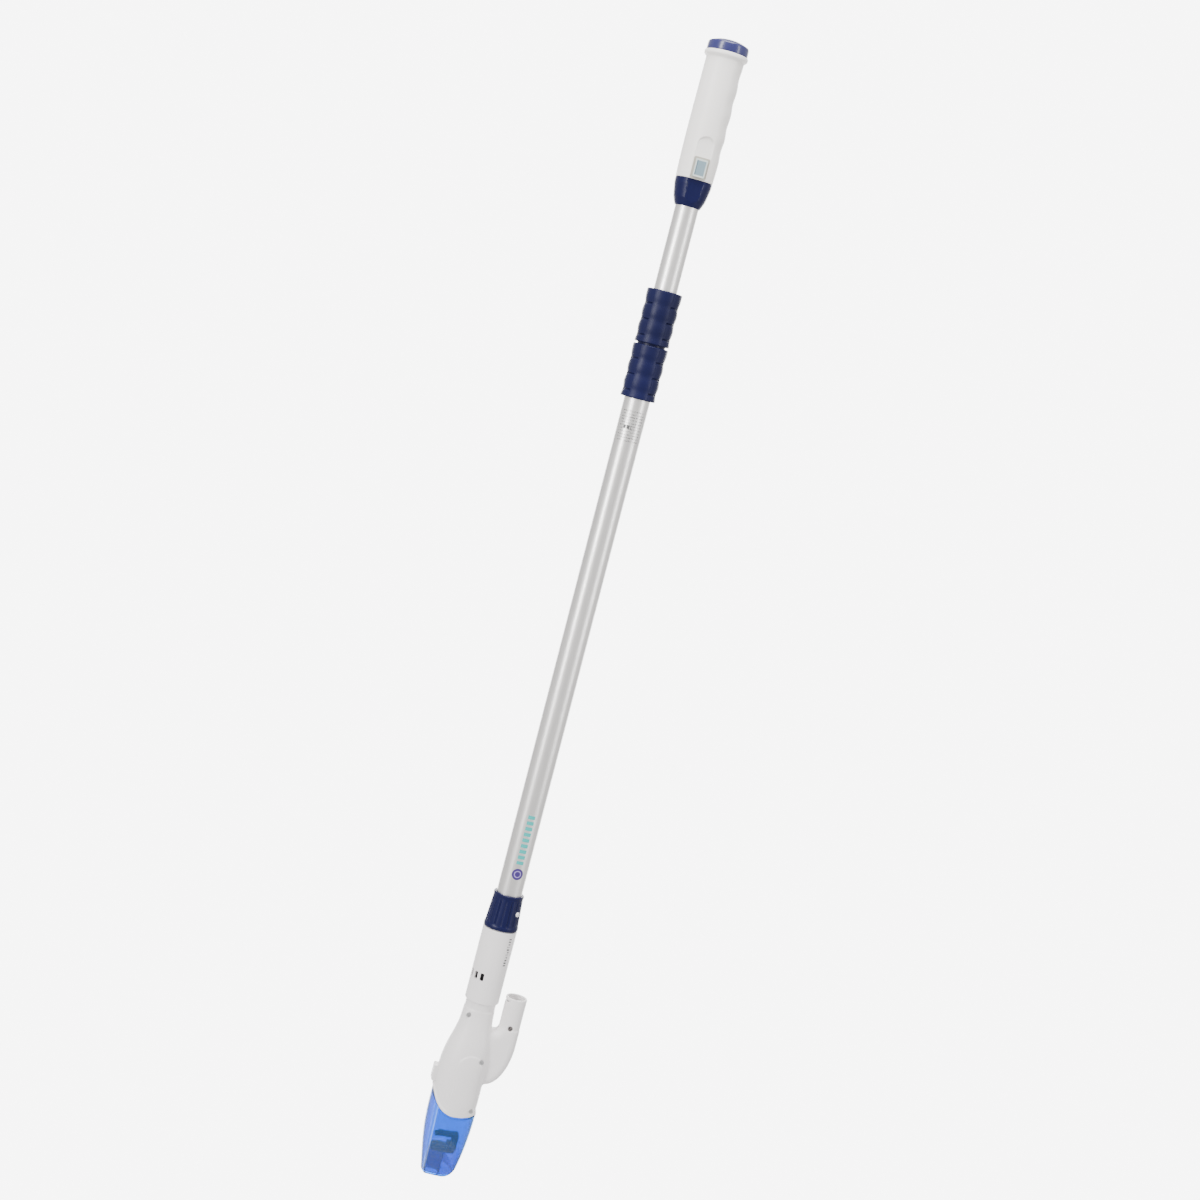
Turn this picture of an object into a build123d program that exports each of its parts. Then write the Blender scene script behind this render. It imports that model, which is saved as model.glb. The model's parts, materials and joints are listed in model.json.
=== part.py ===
"""Telescopic battery stick vacuum for pools and spas.

Millimetres. +Z runs up the pole, and Z = 0 is the plane of the nozzle's lip.
+X points to the outlet tube, -X to the nozzle latch, and -Y is the switch side.
"""

import math
import os

from build123d import *

# ---------------------------------------------------------------- driving dimensions
RUN = 0.06  # radial running clearance of a sliding or turning fit
SEAT = 0.02  # radial clearance of a seated fit
GAP = 0.4  # open gap between neighbouring pieces

# Pole
LOWER_TUBE_OD = 28.0
UPPER_TUBE_OD = 25.0
TUBE_WALL = 1.2
LOWER_TUBE_FOOT = 262.0
LOWER_TUBE_TOP = 918.0
UPPER_TUBE_FOOT = 510.0
UPPER_TUBE_TOP = 1100.0

# Twist lock
GRIP_WALL = 4.7  # over the lower tube
GRIP_LENGTH = 56.4
GRIP_DROP = 47.1  # the lower grip's foot below the lower tube's top
GRIP_SPLIT = 2.0
WAVE_DEPTH = 0.8
WAVES = 3
GRIP_BEVEL = 1.2
COLLET_WALL = 2.44
COLLET_LENGTH = 45.0
COLLET_SLOTS = 4
COLLET_TAPER = 14.0
THROAT_WALL = 1.0

# Handle
HANDLE_FOOT = 1102.7
HANDLE_TOP = 1234.2
HANDLE_R = 20.2
HANDLE_FOOT_R = HANDLE_R - 0.6
HANDLE_SWELL = 0.3
HANDLE_WALL = 2.6
RIM_R = HANDLE_R + 2.7
RIM_HEIGHT = 4.8
CAP_R = RIM_R - 1.1
CAP_HEIGHT = 14.4
CAP_WALL = 2.0
BULKHEAD = 1.4
WELL_COUNT = 4
WELL_START = 34.0  # first finger well above the handle's foot
WELL_PITCH = 25.0
WELL_DEPTH = 0.9
WELL_R = 30.0

# Battery
CELL_R = 7.1
CELL_LENGTH = 50.5
CELL_LAYERS = 2
HOLDER_DISC = 1.5

# Switch
SWITCH_Z = 1114.2
SWITCH_W = 12.8
SWITCH_H = 18.8
SWITCH_DEPTH = 12.0
BOOT_W = 16.6
BOOT_H = 22.3
ROCKER_W = 9.6
ROCKER_H = 14.4
ROCKER_TILT = 8.0
FLAT_DEPTH = 2.2  # of the thumb flat
ARCH_R = 9.3  # half width of the flat, and the radius of its top
ARCH_RISE = 33.0  # top of the flat above the switch's middle
PIVOT_DEPTH = 3.5  # of the rocker's axle behind the flat
AXLE_R = 1.1

# Handle collar
COLLAR_FOOT = 1074.7
COLLAR_FOOT_R = 13.9
COLLAR_SCREW_R = 1.5
COLLAR_SCREW_HEAD_R = 3.0
# Outline of the handle collar: share of its height, share of the handle's foot radius.
COLLAR_STEPS = ((0.296, 0.862), (0.475, 0.908), (0.796, 0.995))

# Head
NECK_SHOULDER = 4.8  # neck radius over the lower tube
NECK_FOOT = 201.4
NECK_TOP = 283.9
NECK_WALL = 2.1
VENT_Z = 230.8
VENT_W = 4.4
VENT_H = 8.5
VENT_COUNT = 7
VENT_PITCH = 24.0
HEAD_COLLAR_FOOT = 285.1
HEAD_COLLAR_TOP = 323.8
HEAD_COLLAR_SHOULDER = 4.9  # radius at its foot, over the lower tube
HEAD_COLLAR_WALL = 2.4  # at its top
HEAD_COLLAR_RIBS = 20
RIB_CUT_R = 1.1
SPIGOT_WALL = 1.7  # the neck's, round the lower tube
SPIGOT_TOP = 38.0  # above the lower tube's foot
PIN_R = 1.5
PIN_X = 5.0
BUTTON_Z = 305.0
BUTTON_R = 3.9
BUTTON_TURN = -42.5
BUTTON_TIP = 4.9  # stands out of the lower tube

# Pump body
BODY_WALL = 2.2
BODY_TOP = 214.0
RIM_Z = 74.0
LIP_GROWTH = 0.9
LIP_HEIGHT = 3.0
PANEL_RAISE = 0.9
OVAL_POWER = 2.3  # 2 is an ellipse, more is fuller
OUTLET_X = 37.0
OUTLET_R = 11.7
OUTLET_BORE_R = 9.5
OUTLET_TOP = 211.5
OUTLET_HOLE_Z = 178.6
OUTLET_HOLE_R = 2.7
SADDLE_Z = 172.0
SADDLE_R = 4.1
HEEL_WIDE = 25.0
HEEL_TALL = 49.0
HEEL_DROP = 13.7
HEEL_START = 8.0
ELBOW_ROUND = 9.0
LATCH_Z = 112.0
LATCH_H = 17.0
LATCH_W = 13.0
LATCH_REACH = 33.0
LATCH_TRAVEL = 2.5
SCREW_R = 1.5
SCREW_HEAD_R = 2.7
BOSS_R = 3.1

# Pump
PUMP_R = 18.5
PUMP_FOOT = 104.0
PUMP_TOP = 133.0
IMPELLER_R = 14.5
SHAFT_R = 1.5
MOTOR_R = 12.0
MOTOR_FOOT = 199.0
MOTOR_LENGTH = 32.0

# Nozzle
NOZZLE_WALL = 2.0
EDGE_SHARE = 0.86  # how far across its front edges are
SHOULDER_SHARE = (0.78, 0.70)  # the back corners: along, across
MOUTH_X = (-15.0, 1.0)
MOUTH_HALF_Y = 7.0
CHUTE_WALL = 1.1
CHUTE_TOP = 27.2
CAGE_TOP = 46.7
FLAP_HINGE_X = 4.4
FLAP_HINGE_Z = 32.9
FLAP_PIN_R = 0.9
SCREEN_Z = 88.0
SCREEN_PITCH = 4.2
SCREEN_HOLE_R = 1.45
NOZZLE_TOP = 98.0

# Sections of the pump body: height, front, back, half width across.
BODY_SECTIONS = (
    (192.0, 16.9, 16.9, 16.8),
    (174.0, 18.4, 18.4, 18.2),
    (156.0, 22.5, 22.2, 21.1),
    (138.0, 26.7, 24.5, 23.2),
    (120.0, 28.4, 24.3, 23.9),
    (102.0, 28.7, 23.9, 24.0),
    (84.0, 28.7, 23.9, 24.0),
    (66.0, 28.8, 24.2, 24.0),
)
# Sections of the nozzle in the same form, then how far forward its front edges are.
NOZZLE_SECTIONS = (
    (100.0, 28.7, 24.2, 23.8, 19.8),
    (74.0, 28.7, 25.2, 23.6, 19.3),
    (50.0, 27.3, 24.3, 21.4, 18.6),
    (27.0, 23.9, 21.9, 17.0, 17.6),
    (-2.0, 18.6, 16.4, 11.6, 15.2),
)
# Where the body's lower edge runs, seen along Y: flat at the back, rising to the latch.
RIM_CURVE = ((34.0, RIM_Z), (4.0, RIM_Z), (-10.0, 75.5), (-20.0, 82.0), (-26.5, 92.0), (-31.0, 101.0))
# Screws through the pump body, seen along Y: across and up. The last one is short.
BODY_SCREWS = ((-11.5, 186.0), (14.2, 138.5))
LOW_SCREW = (16.4, 82.0)

# ---------------------------------------------------------------- derived dimensions
LOWER_R = LOWER_TUBE_OD / 2
UPPER_R = UPPER_TUBE_OD / 2
GRIP_R = LOWER_R + GRIP_WALL
GRIP_FOOT = LOWER_TUBE_TOP - GRIP_DROP
NECK_R = LOWER_R + NECK_SHOULDER
HEAD_COLLAR_FOOT_R = LOWER_R + HEAD_COLLAR_SHOULDER
HEAD_COLLAR_TOP_R = LOWER_R + HEAD_COLLAR_WALL
NECK_SPIGOT_R = LOWER_R + SPIGOT_WALL
NECK_SPIGOT_TOP = LOWER_TUBE_FOOT + SPIGOT_TOP
BUTTON_REACH = LOWER_R + BUTTON_TIP
FLAT_Y = HANDLE_R - FLAT_DEPTH  # distance of the thumb flat from the axis
PIVOT_Y = PIVOT_DEPTH - FLAT_Y
STANDING = (Align.CENTER, Align.CENTER, Align.MIN)
LOWER_BORE_R = LOWER_R - TUBE_WALL
UPPER_BORE_R = UPPER_R - TUBE_WALL
NUT_FOOT = GRIP_FOOT + GRIP_LENGTH + GRIP_SPLIT
NUT_TOP = NUT_FOOT + GRIP_LENGTH
COLLET_BORE_R = UPPER_R + RUN
COLLET_R = COLLET_BORE_R + COLLET_WALL
COLLET_FOOT = LOWER_TUBE_TOP + 1.0
COLLET_TOP = COLLET_FOOT + COLLET_LENGTH
BAY_R = HANDLE_R - HANDLE_WALL
BAY_FOOT = SWITCH_Z + SWITCH_H / 2 + 2.4
RIM_FOOT = HANDLE_TOP - RIM_HEIGHT
CAP_FOOT = HANDLE_TOP + 0.2
SPIGOT_R = RIM_R - 3.0
HOLDER_FOOT = BAY_FOOT + 0.3
CELL_PLACE = CELL_R + 0.1
NECK_BORE_R = NECK_R - NECK_WALL
BUTTON_DIR = Vector(math.cos(math.radians(BUTTON_TURN)), math.sin(math.radians(BUTTON_TURN)), 0)


# ---------------------------------------------------------------- helpers
def save(node, *solids):
    """Writes one node as STEP, from one solid or a group of separate ones."""
    pieces = [s for shape in solids for s in shape.solids()]
    shape = pieces[0] if len(pieces) == 1 else Compound(children=pieces)
    export_step(shape, f"parts/{node}.step")


def rod(r, z0, z1, x=0.0, y=0.0):
    """A cylinder along Z from z0 to z1."""
    return Pos(x, y, z0) * Cylinder(r, z1 - z0, align=STANDING)


def tube(r_out, r_in, z0, z1, x=0.0, y=0.0):
    return rod(r_out, z0, z1, x, y) - rod(r_in, z0 - 1, z1 + 1, x, y)


def block(x0, x1, y0, y1, z0, z1):
    """A box between two corners."""
    return Pos((x0 + x1) / 2, (y0 + y1) / 2, (z0 + z1) / 2) * Box(x1 - x0, y1 - y0, z1 - z0)


def cross_rod(r, x, z, y0, y1):
    """A cylinder along Y from y0 to y1."""
    return Pos(x, y0, z) * Rot(-90, 0, 0) * Cylinder(r, y1 - y0, align=STANDING)


def turned(points):
    """A solid turned about Z from an outline of (radius, z) points."""
    outline = Polyline(*[(r, 0, z) for r, z in points], close=True)
    return revolve(make_face(outline), Axis.Z)


def radial(shape, turn):
    """Turns a shape made along +X so that it points at the given angle."""
    return Rot(0, 0, turn) * shape


def side_cut(points, depth=40.0):
    """A prism across the whole part, from an outline of (x, z) points."""
    outline = Polyline(*[(x, -depth, z) for x, z in points], close=True)
    return extrude(make_face(outline), 2 * depth, dir=(0, 1, 0))


def rounded(place, reach, half, power, points=16):
    """A closed outline, fuller than an ellipse, from reach and half width; place maps (u, v) to a point."""
    spots = []
    for i in range(points):
        t = 2 * math.pi * (i + 0.5) / points
        c, s = math.cos(t), math.sin(t)
        u = reach * math.copysign(abs(c) ** (2 / power), c)
        v = half * math.copysign(abs(s) ** (2 / power), s)
        spots.append(place(u, v))
    return make_face(Spline(*spots, periodic=True))


def oval(z, front, back, half):
    """A rounded section of the head at height z."""
    middle = (back - front) / 2
    return rounded(lambda u, v: (middle + u, v, z), (back + front) / 2, half, OVAL_POWER)


def lofted(sections, grow=0.0):
    """A smooth solid through ovals, all of them grown or shrunk by one amount."""
    faces = [oval(z, front + grow, back + grow, half + grow) for z, front, back, half in sections]
    return loft(faces)


def edged(z, front, back, half, edge):
    """A section of the nozzle: a bowed front between two upright edges, and a rounded back."""
    middle = (back - front) / 2
    reach = (back + front) / 2
    corner = (-edge, -EDGE_SHARE * half, z)
    far_corner = (-edge, EDGE_SHARE * half, z)
    along, across = SHOULDER_SHARE
    shoulder_x, shoulder_y = middle + along * reach, across * half
    sides = Spline(
        corner, (middle, -half, z), (shoulder_x, -shoulder_y, z), (middle + reach, 0, z),
        (shoulder_x, shoulder_y, z), (middle, half, z), far_corner,
    )
    bow = ThreePointArc(far_corner, (middle - reach, 0, z), corner)
    return make_face(Wire([sides, bow]))


def nozzle_loft(grow=0.0):
    """The nozzle's outer form, grown or shrunk by one amount."""
    rows = [(z, f + grow, b + grow, h + grow, e + 0.6 * grow) for z, f, b, h, e in NOZZLE_SECTIONS]
    return loft([edged(*row) for row in rows])


def elbow(grow=0.0):
    """The outlet duct: a bend from the pump body into the upright outlet tube."""
    inner = OUTLET_X - OUTLET_R - grow
    outer = OUTLET_X + OUTLET_R + grow
    saddle_r = SADDLE_R - grow
    valley_z = SADDLE_Z + SADDLE_R
    heel_x = outer - HEEL_WIDE
    heel_z = SADDLE_Z - HEEL_DROP
    tall = HEEL_TALL + grow
    start_x = HEEL_START
    outline = [
        Line((inner, valley_z), (outer, valley_z)),
        Line((outer, valley_z), (outer, heel_z)),
        EllipticalCenterArc((heel_x, heel_z), HEEL_WIDE, tall, start_angle=-90, arc_size=90),
        Line((heel_x, heel_z - tall), (start_x, heel_z - tall)),
        Line((start_x, heel_z - tall), (start_x, valley_z)),
        Line((start_x, valley_z), (inner - 2 * saddle_r, valley_z)),
        CenterArc((inner - saddle_r, valley_z), saddle_r, 180, 180),
    ]
    half = OUTLET_R + grow
    face = Plane.XZ * make_face(Wire(outline))
    slab = extrude(face, half, both=True)
    round_over = [
        e for e in slab.edges()
        if abs(abs(e.center().Y) - half) < 0.01
        and e.center().Z < valley_z - 0.01
        and e.center().X > start_x + 0.01
    ]
    slab = fillet(round_over, ELBOW_ROUND + grow)
    return slab + rod(half, valley_z - 0.5, OUTLET_TOP, OUTLET_X)


def spring(coil_r, wire_r, length, turns):
    """A coil spring along +Z from the origin, with its wire's ends inside the length."""
    rise = length - 2 * wire_r
    path = Pos(0, 0, wire_r) * Helix(rise / turns, rise, coil_r)
    start = path @ 0
    return sweep(Plane(origin=start, z_dir=path % 0) * Circle(wire_r), path, is_frenet=True)


# ---------------------------------------------------------------- pole
def make_tubes():
    wall = tube(LOWER_R, LOWER_BORE_R, LOWER_TUBE_FOOT, LOWER_TUBE_TOP)
    save("lower_tube", wall - radial(button_hole(), BUTTON_TURN))
    save("upper_tube", tube(UPPER_R, UPPER_BORE_R, UPPER_TUBE_FOOT, UPPER_TUBE_TOP))


def button_hole():
    """The hole for the snap button, along +X before it is turned."""
    return Pos(0, 0, BUTTON_Z) * Rot(0, 90, 0) * rod(BUTTON_R + RUN, 0, 60)


def wave(r, z0, z1):
    """The outline of a grip: straight ends, and a row of shallow waves between."""
    span = (z1 - z0) / WAVES
    points = []
    for i in range(8 * WAVES + 1):
        z = z0 + span * i / 8
        dip = WAVE_DEPTH * (1 - math.cos(2 * math.pi * i / 8)) / 2
        points.append((r - dip, z))
    return points


def grip(z0, z1, r):
    """A solid grip with waves round it and rounded ends."""
    foot_z, head_z = z0 + GRIP_BEVEL, z1 - GRIP_BEVEL
    curve = Spline(*[(p, 0, z) for p, z in wave(r, foot_z, head_z)])
    foot = Polyline((r, 0, foot_z), (r - GRIP_BEVEL, 0, z0), (0, 0, z0))
    head = Polyline((r, 0, head_z), (r - GRIP_BEVEL, 0, z1), (0, 0, z1), (0, 0, z0))
    return revolve(make_face(Wire([curve, *foot.edges(), *head.edges()])), Axis.Z)


def make_twist_lock():
    body = grip(GRIP_FOOT, GRIP_FOOT + GRIP_LENGTH, GRIP_R)
    body -= rod(LOWER_R + SEAT, GRIP_FOOT - 1, LOWER_TUBE_TOP)
    body -= rod(COLLET_R + SEAT, LOWER_TUBE_TOP - 0.01, GRIP_FOOT + GRIP_LENGTH + 1)
    save("grip_sleeve", body)

    taper_foot = COLLET_TOP - COLLET_TAPER
    throat_r = UPPER_R + THROAT_WALL
    nut = grip(NUT_FOOT, NUT_TOP, GRIP_R)
    nut -= turned([
        (0, NUT_FOOT - 1), (COLLET_R + RUN, NUT_FOOT - 1), (COLLET_R + RUN, taper_foot),
        (throat_r + RUN, COLLET_TOP + 1.0), (COLLET_BORE_R, COLLET_TOP + 1.0),
        (COLLET_BORE_R, NUT_TOP + 1), (0, NUT_TOP + 1),
    ])
    save("lock_nut", nut)

    collet = turned([
        (COLLET_BORE_R, COLLET_FOOT), (COLLET_R, COLLET_FOOT), (COLLET_R, taper_foot),
        (throat_r, COLLET_TOP), (COLLET_BORE_R, COLLET_TOP),
    ])
    for i in range(COLLET_SLOTS):
        turn = 360 * i / COLLET_SLOTS + 45
        collet -= radial(block(5, 20, -0.6, 0.6, COLLET_FOOT + 14, COLLET_TOP + 1), turn)
    save("collet", collet)


def make_inner_pole():
    flange_foot = UPPER_TUBE_FOOT - 12
    bush = rod(LOWER_BORE_R - RUN, flange_foot, UPPER_TUBE_FOOT)
    bush += rod(UPPER_BORE_R - SEAT, UPPER_TUBE_FOOT, UPPER_TUBE_FOOT + 15)
    bush -= rod(4.0, flange_foot - 1, UPPER_TUBE_FOOT + 20)
    save("guide_bush", bush)

    plug_top = BUTTON_Z + 15
    plug = rod(LOWER_BORE_R - SEAT, LOWER_TUBE_FOOT, plug_top)
    pocket = rod(BUTTON_R + RUN, 0, 40)
    pocket_foot = -9.0
    plug -= Pos(0, 0, BUTTON_Z) * radial(Rot(0, 90, 0) * Pos(0, 0, pocket_foot) * pocket, BUTTON_TURN)
    pins = [rod(PIN_R, LOWER_TUBE_FOOT - 9, LOWER_TUBE_FOOT + 12, x) for x in (-PIN_X, PIN_X)]
    for pin in pins:
        plug -= pin
    save("pole_plug", plug)
    save("contact_pins", *pins)
    save("power_lead", tube(6.0, 3.0, plug_top, flange_foot))

    button_foot = 1.8
    coil_foot = pocket_foot + 0.1
    coil = spring(2.9, 0.45, button_foot - 0.1 - coil_foot, 6)
    coil = radial(Rot(0, 90, 0) * Pos(0, 0, coil_foot) * coil, BUTTON_TURN)
    save("button_spring", Pos(0, 0, BUTTON_Z) * coil)
    button = rod(BUTTON_R, button_foot, BUTTON_REACH)
    button = fillet(button.edges().sort_by(Axis.Z)[-1], 1.4)
    save("snap_button", Pos(0, 0, BUTTON_Z) * radial(Rot(0, 90, 0) * button, BUTTON_TURN))


# ---------------------------------------------------------------- handle
def make_handle():
    top_r = HANDLE_R - HANDLE_SWELL
    length = RIM_FOOT - HANDLE_FOOT
    profile = Wire([
        Line((0, 0, HANDLE_FOOT), (HANDLE_FOOT_R, 0, HANDLE_FOOT)),
        Spline((HANDLE_FOOT_R, 0, HANDLE_FOOT), (HANDLE_R, 0, HANDLE_FOOT + 0.12 * length),
               (HANDLE_R + HANDLE_SWELL, 0, HANDLE_FOOT + 0.37 * length),
               (HANDLE_R, 0, HANDLE_FOOT + 0.73 * length), (top_r, 0, RIM_FOOT - 1.6)),
        Line((top_r, 0, RIM_FOOT - 1.6), (RIM_R, 0, RIM_FOOT + 1.2)),
        Line((RIM_R, 0, RIM_FOOT + 1.2), (RIM_R, 0, HANDLE_TOP - 0.8)),
        Line((RIM_R, 0, HANDLE_TOP - 0.8), (RIM_R - 0.8, 0, HANDLE_TOP)),
        Line((RIM_R - 0.8, 0, HANDLE_TOP), (0, 0, HANDLE_TOP)),
        Line((0, 0, HANDLE_TOP), (0, 0, HANDLE_FOOT)),
    ])
    shell = revolve(make_face(profile), Axis.Z)
    for i in range(WELL_COUNT):
        z = HANDLE_FOOT + WELL_START + WELL_PITCH * i
        shell -= cross_rod(WELL_R, HANDLE_R + WELL_R - WELL_DEPTH, z, -40, 40)
    arch_z = SWITCH_Z + ARCH_RISE - ARCH_R
    flat = block(-ARCH_R, ARCH_R, -40, -FLAT_Y, HANDLE_FOOT - 1, arch_z)
    flat += cross_rod(ARCH_R, 0, arch_z, -40, -FLAT_Y)
    shell -= flat
    shell -= rod(BAY_R, BAY_FOOT, RIM_FOOT + 1)
    shell -= rod(SPIGOT_R + SEAT, RIM_FOOT, HANDLE_TOP + 1)
    shell -= rod(BAY_R - 0.6, HANDLE_FOOT - 1, BAY_FOOT - BULKHEAD)
    shell -= rod(2.0, BAY_FOOT - 5, BAY_FOOT + 1, 10, 0)
    window_w, window_h = SWITCH_W / 2 + 0.1, SWITCH_H / 2 + 0.1
    shell -= block(-window_w, window_w, -30, -10, SWITCH_Z - window_h, SWITCH_Z + window_h)
    save("handle_grip", shell)


def make_cap():
    rise = CAP_HEIGHT
    shoulder = CAP_FOOT + 0.55 * rise
    top = CAP_FOOT + rise
    outer = Wire([
        Line((0, 0, CAP_FOOT), (CAP_R, 0, CAP_FOOT)),
        Line((CAP_R, 0, CAP_FOOT), (CAP_R - 0.3, 0, shoulder)),
        Spline((CAP_R - 0.3, 0, shoulder), (CAP_R - 2.4, 0, shoulder + 2.6), (CAP_R / 2, 0, top - 0.9),
               (0, 0, top), tangents=[(-0.15, 0, 1), (-1, 0, 0)]),
        Line((0, 0, top), (0, 0, CAP_FOOT)),
    ])
    cap = revolve(make_face(outer), Axis.Z)
    cap += rod(SPIGOT_R, RIM_FOOT + 1.0, CAP_FOOT + 1)
    cap -= rod(BAY_R + 0.3, RIM_FOOT - 1, shoulder)
    save("battery_cap", cap)
    save("cap_gasket", tube(SPIGOT_R - SEAT, BAY_R + 0.5, RIM_FOOT, RIM_FOOT + 0.9))


def cell_places():
    """The centres of the cells in one layer."""
    return [(x, y) for x in (-CELL_PLACE, CELL_PLACE) for y in (-CELL_PLACE, CELL_PLACE)]


def make_battery():
    pitch = CELL_LENGTH + HOLDER_DISC + 1.4
    disc_r = BAY_R - 0.3
    holder = rod(2.7, HOLDER_FOOT, HOLDER_FOOT + CELL_LAYERS * pitch + HOLDER_DISC)
    cells, plates, springs = [], [], []
    coil = spring(2.6, 0.3, 1.4, 1.5)
    for layer in range(CELL_LAYERS + 1):
        z = HOLDER_FOOT + layer * pitch
        holder += rod(disc_r, z, z + HOLDER_DISC)
    for layer in range(CELL_LAYERS):
        z = HOLDER_FOOT + layer * pitch + HOLDER_DISC
        for x, y in cell_places():
            springs.append(Pos(x, y, z) * coil)
            cell = rod(CELL_R, z + 1.4, z + CELL_LENGTH - 0.8, x, y)
            nub = rod(2.7, z + CELL_LENGTH - 0.8, z + CELL_LENGTH + 0.6, x, y)
            cells.append(cell + nub)
        for y in (-CELL_PLACE, CELL_PLACE):
            foot = z + CELL_LENGTH + 0.6
            plates.append(block(-CELL_PLACE - 3, CELL_PLACE + 3, y - 2.5, y + 2.5, foot, foot + 0.6))
    save("battery_holder", holder)
    save("battery_cells", *cells)
    save("contact_plates", *plates)
    save("contact_springs", *springs)


def make_switch():
    half_w, half_h = SWITCH_W / 2, SWITCH_H / 2
    body = block(-half_w, half_w, -FLAT_Y, -FLAT_Y + SWITCH_DEPTH, SWITCH_Z - half_h, SWITCH_Z + half_h)
    room_w, room_h = ROCKER_W / 2 + 0.4, ROCKER_H / 2 + 0.9
    body -= block(-room_w, room_w, -30, PIVOT_Y + 2.6, SWITCH_Z - room_h, SWITCH_Z + room_h)
    axle = Pos(0, PIVOT_Y, SWITCH_Z) * Rot(0, 90, 0) * Cylinder(AXLE_R, SWITCH_W - 1.6)
    hole = Pos(0, PIVOT_Y, SWITCH_Z) * Rot(0, 90, 0) * Cylinder(AXLE_R + RUN, SWITCH_W - 1.4)
    save("switch_body", body - hole)

    half = ROCKER_H / 2
    outline = Polyline(
        (0, PIVOT_Y + 0.6, -half + 0.4), (0, PIVOT_Y - 4.7, -half), (0, PIVOT_Y - 4.0, 0),
        (0, PIVOT_Y - 4.7, half), (0, PIVOT_Y + 0.6, half - 0.4), close=True,
    )
    rocker = extrude(make_face(outline), ROCKER_W / 2, dir=(1, 0, 0), both=True)
    rocker = Pos(0, 0, SWITCH_Z) * rocker + axle
    tilt = Axis((0, PIVOT_Y, SWITCH_Z), (1, 0, 0))
    save("switch_rocker", rocker.rotate(tilt, -ROCKER_TILT))

    boot_foot, boot_top = SWITCH_Z - BOOT_H / 2, SWITCH_Z + BOOT_H / 2
    flange = block(-BOOT_W / 2, BOOT_W / 2, -FLAT_Y - 1.3, -FLAT_Y - SEAT, boot_foot, boot_top)
    flange = fillet(flange.edges().filter_by(Axis.Y), 1.6)
    dome_w, dome_h = half_w - 0.2, half_h - 0.2
    dome = block(-dome_w, dome_w, -FLAT_Y - 3.4, -FLAT_Y - 1.0, SWITCH_Z - dome_h, SWITCH_Z + dome_h)
    dome = fillet(dome.edges().filter_by(Axis.Y), 1.8)
    room_w, room_h = dome_w - 0.8, dome_h - 0.8
    boot = flange + dome
    boot -= block(-room_w, room_w, -FLAT_Y - 2.7, -10, SWITCH_Z - room_h, SWITCH_Z + room_h)
    save("switch_boot", boot)


def make_handle_collar():
    top = HANDLE_FOOT - 0.1
    steps = [(share * HANDLE_FOOT_R, COLLAR_FOOT + up * (top - COLLAR_FOOT)) for up, share in COLLAR_STEPS]
    collar = turned([
        (0, COLLAR_FOOT), (COLLAR_FOOT_R - 0.6, COLLAR_FOOT), (COLLAR_FOOT_R, COLLAR_FOOT + 0.8),
        *steps, (HANDLE_FOOT_R + 0.1, top), (0, top),
    ])
    facet = Plane.XZ.offset(FLAT_Y - 0.6) * Pos(0, HANDLE_FOOT + 3) * Ellipse(10.0, 27.0)
    collar -= extrude(facet, 20)
    spigot = tube(BAY_R - 0.6 - SEAT, UPPER_R + 2.0, HANDLE_FOOT - 0.2, HANDLE_FOOT + 5)
    spigot -= block(-SWITCH_W, SWITCH_W, -30, -FLAT_Y + SWITCH_DEPTH + 1, HANDLE_FOOT - 0.1, HANDLE_FOOT + 9)
    collar += spigot
    collar -= rod(UPPER_R + SEAT, COLLAR_FOOT - 1, UPPER_TUBE_TOP)
    collar -= rod(UPPER_BORE_R, COLLAR_FOOT, HANDLE_FOOT + 9)
    screw_z = (COLLAR_FOOT + HANDLE_FOOT) / 2
    hole = cross_rod(COLLAR_SCREW_R, 0, screw_z, UPPER_R, 30)
    hole += cross_rod(COLLAR_SCREW_HEAD_R, 0, screw_z, UPPER_R + 3, 30)
    save("handle_collar", collar - hole)
    screw = cross_rod(COLLAR_SCREW_R - SEAT, 0, screw_z, UPPER_R + SEAT, UPPER_R + 3)
    screw += cross_rod(COLLAR_SCREW_HEAD_R - SEAT, 0, screw_z, UPPER_R + 3, UPPER_R + 5)
    screw -= block(-2, 2, UPPER_R + 4, UPPER_R + 6, screw_z - 0.4, screw_z + 0.4)
    save("collar_screw", screw)


# ---------------------------------------------------------------- head
def make_head_collar():
    foot_r, top_r = HEAD_COLLAR_FOOT_R, HEAD_COLLAR_TOP_R
    collar = turned([
        (0, HEAD_COLLAR_FOOT), (foot_r - 0.5, HEAD_COLLAR_FOOT), (foot_r, HEAD_COLLAR_FOOT + 0.8),
        (foot_r - 0.4, HEAD_COLLAR_FOOT + 12), (top_r, HEAD_COLLAR_TOP - 0.6),
        (top_r - 0.6, HEAD_COLLAR_TOP), (0, HEAD_COLLAR_TOP),
    ])
    for i in range(HEAD_COLLAR_RIBS):
        turn = BUTTON_TURN + 360 * (i + 0.5) / HEAD_COLLAR_RIBS
        groove = Pos(HEAD_COLLAR_FOOT_R + 0.5, 0, HEAD_COLLAR_FOOT + 4) * rod(RIB_CUT_R, 0, 50)
        groove = groove.rotate(Axis((HEAD_COLLAR_FOOT_R, 0, HEAD_COLLAR_FOOT), (0, 1, 0)), -3.4)
        collar -= radial(groove, turn)
    collar -= rod(LOWER_R + SEAT, HEAD_COLLAR_FOOT - 1, HEAD_COLLAR_TOP + 1)
    collar -= rod(NECK_SPIGOT_R + SEAT, HEAD_COLLAR_FOOT - 1, NECK_SPIGOT_TOP)
    collar -= radial(button_hole(), BUTTON_TURN)
    save("head_collar", collar)


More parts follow.
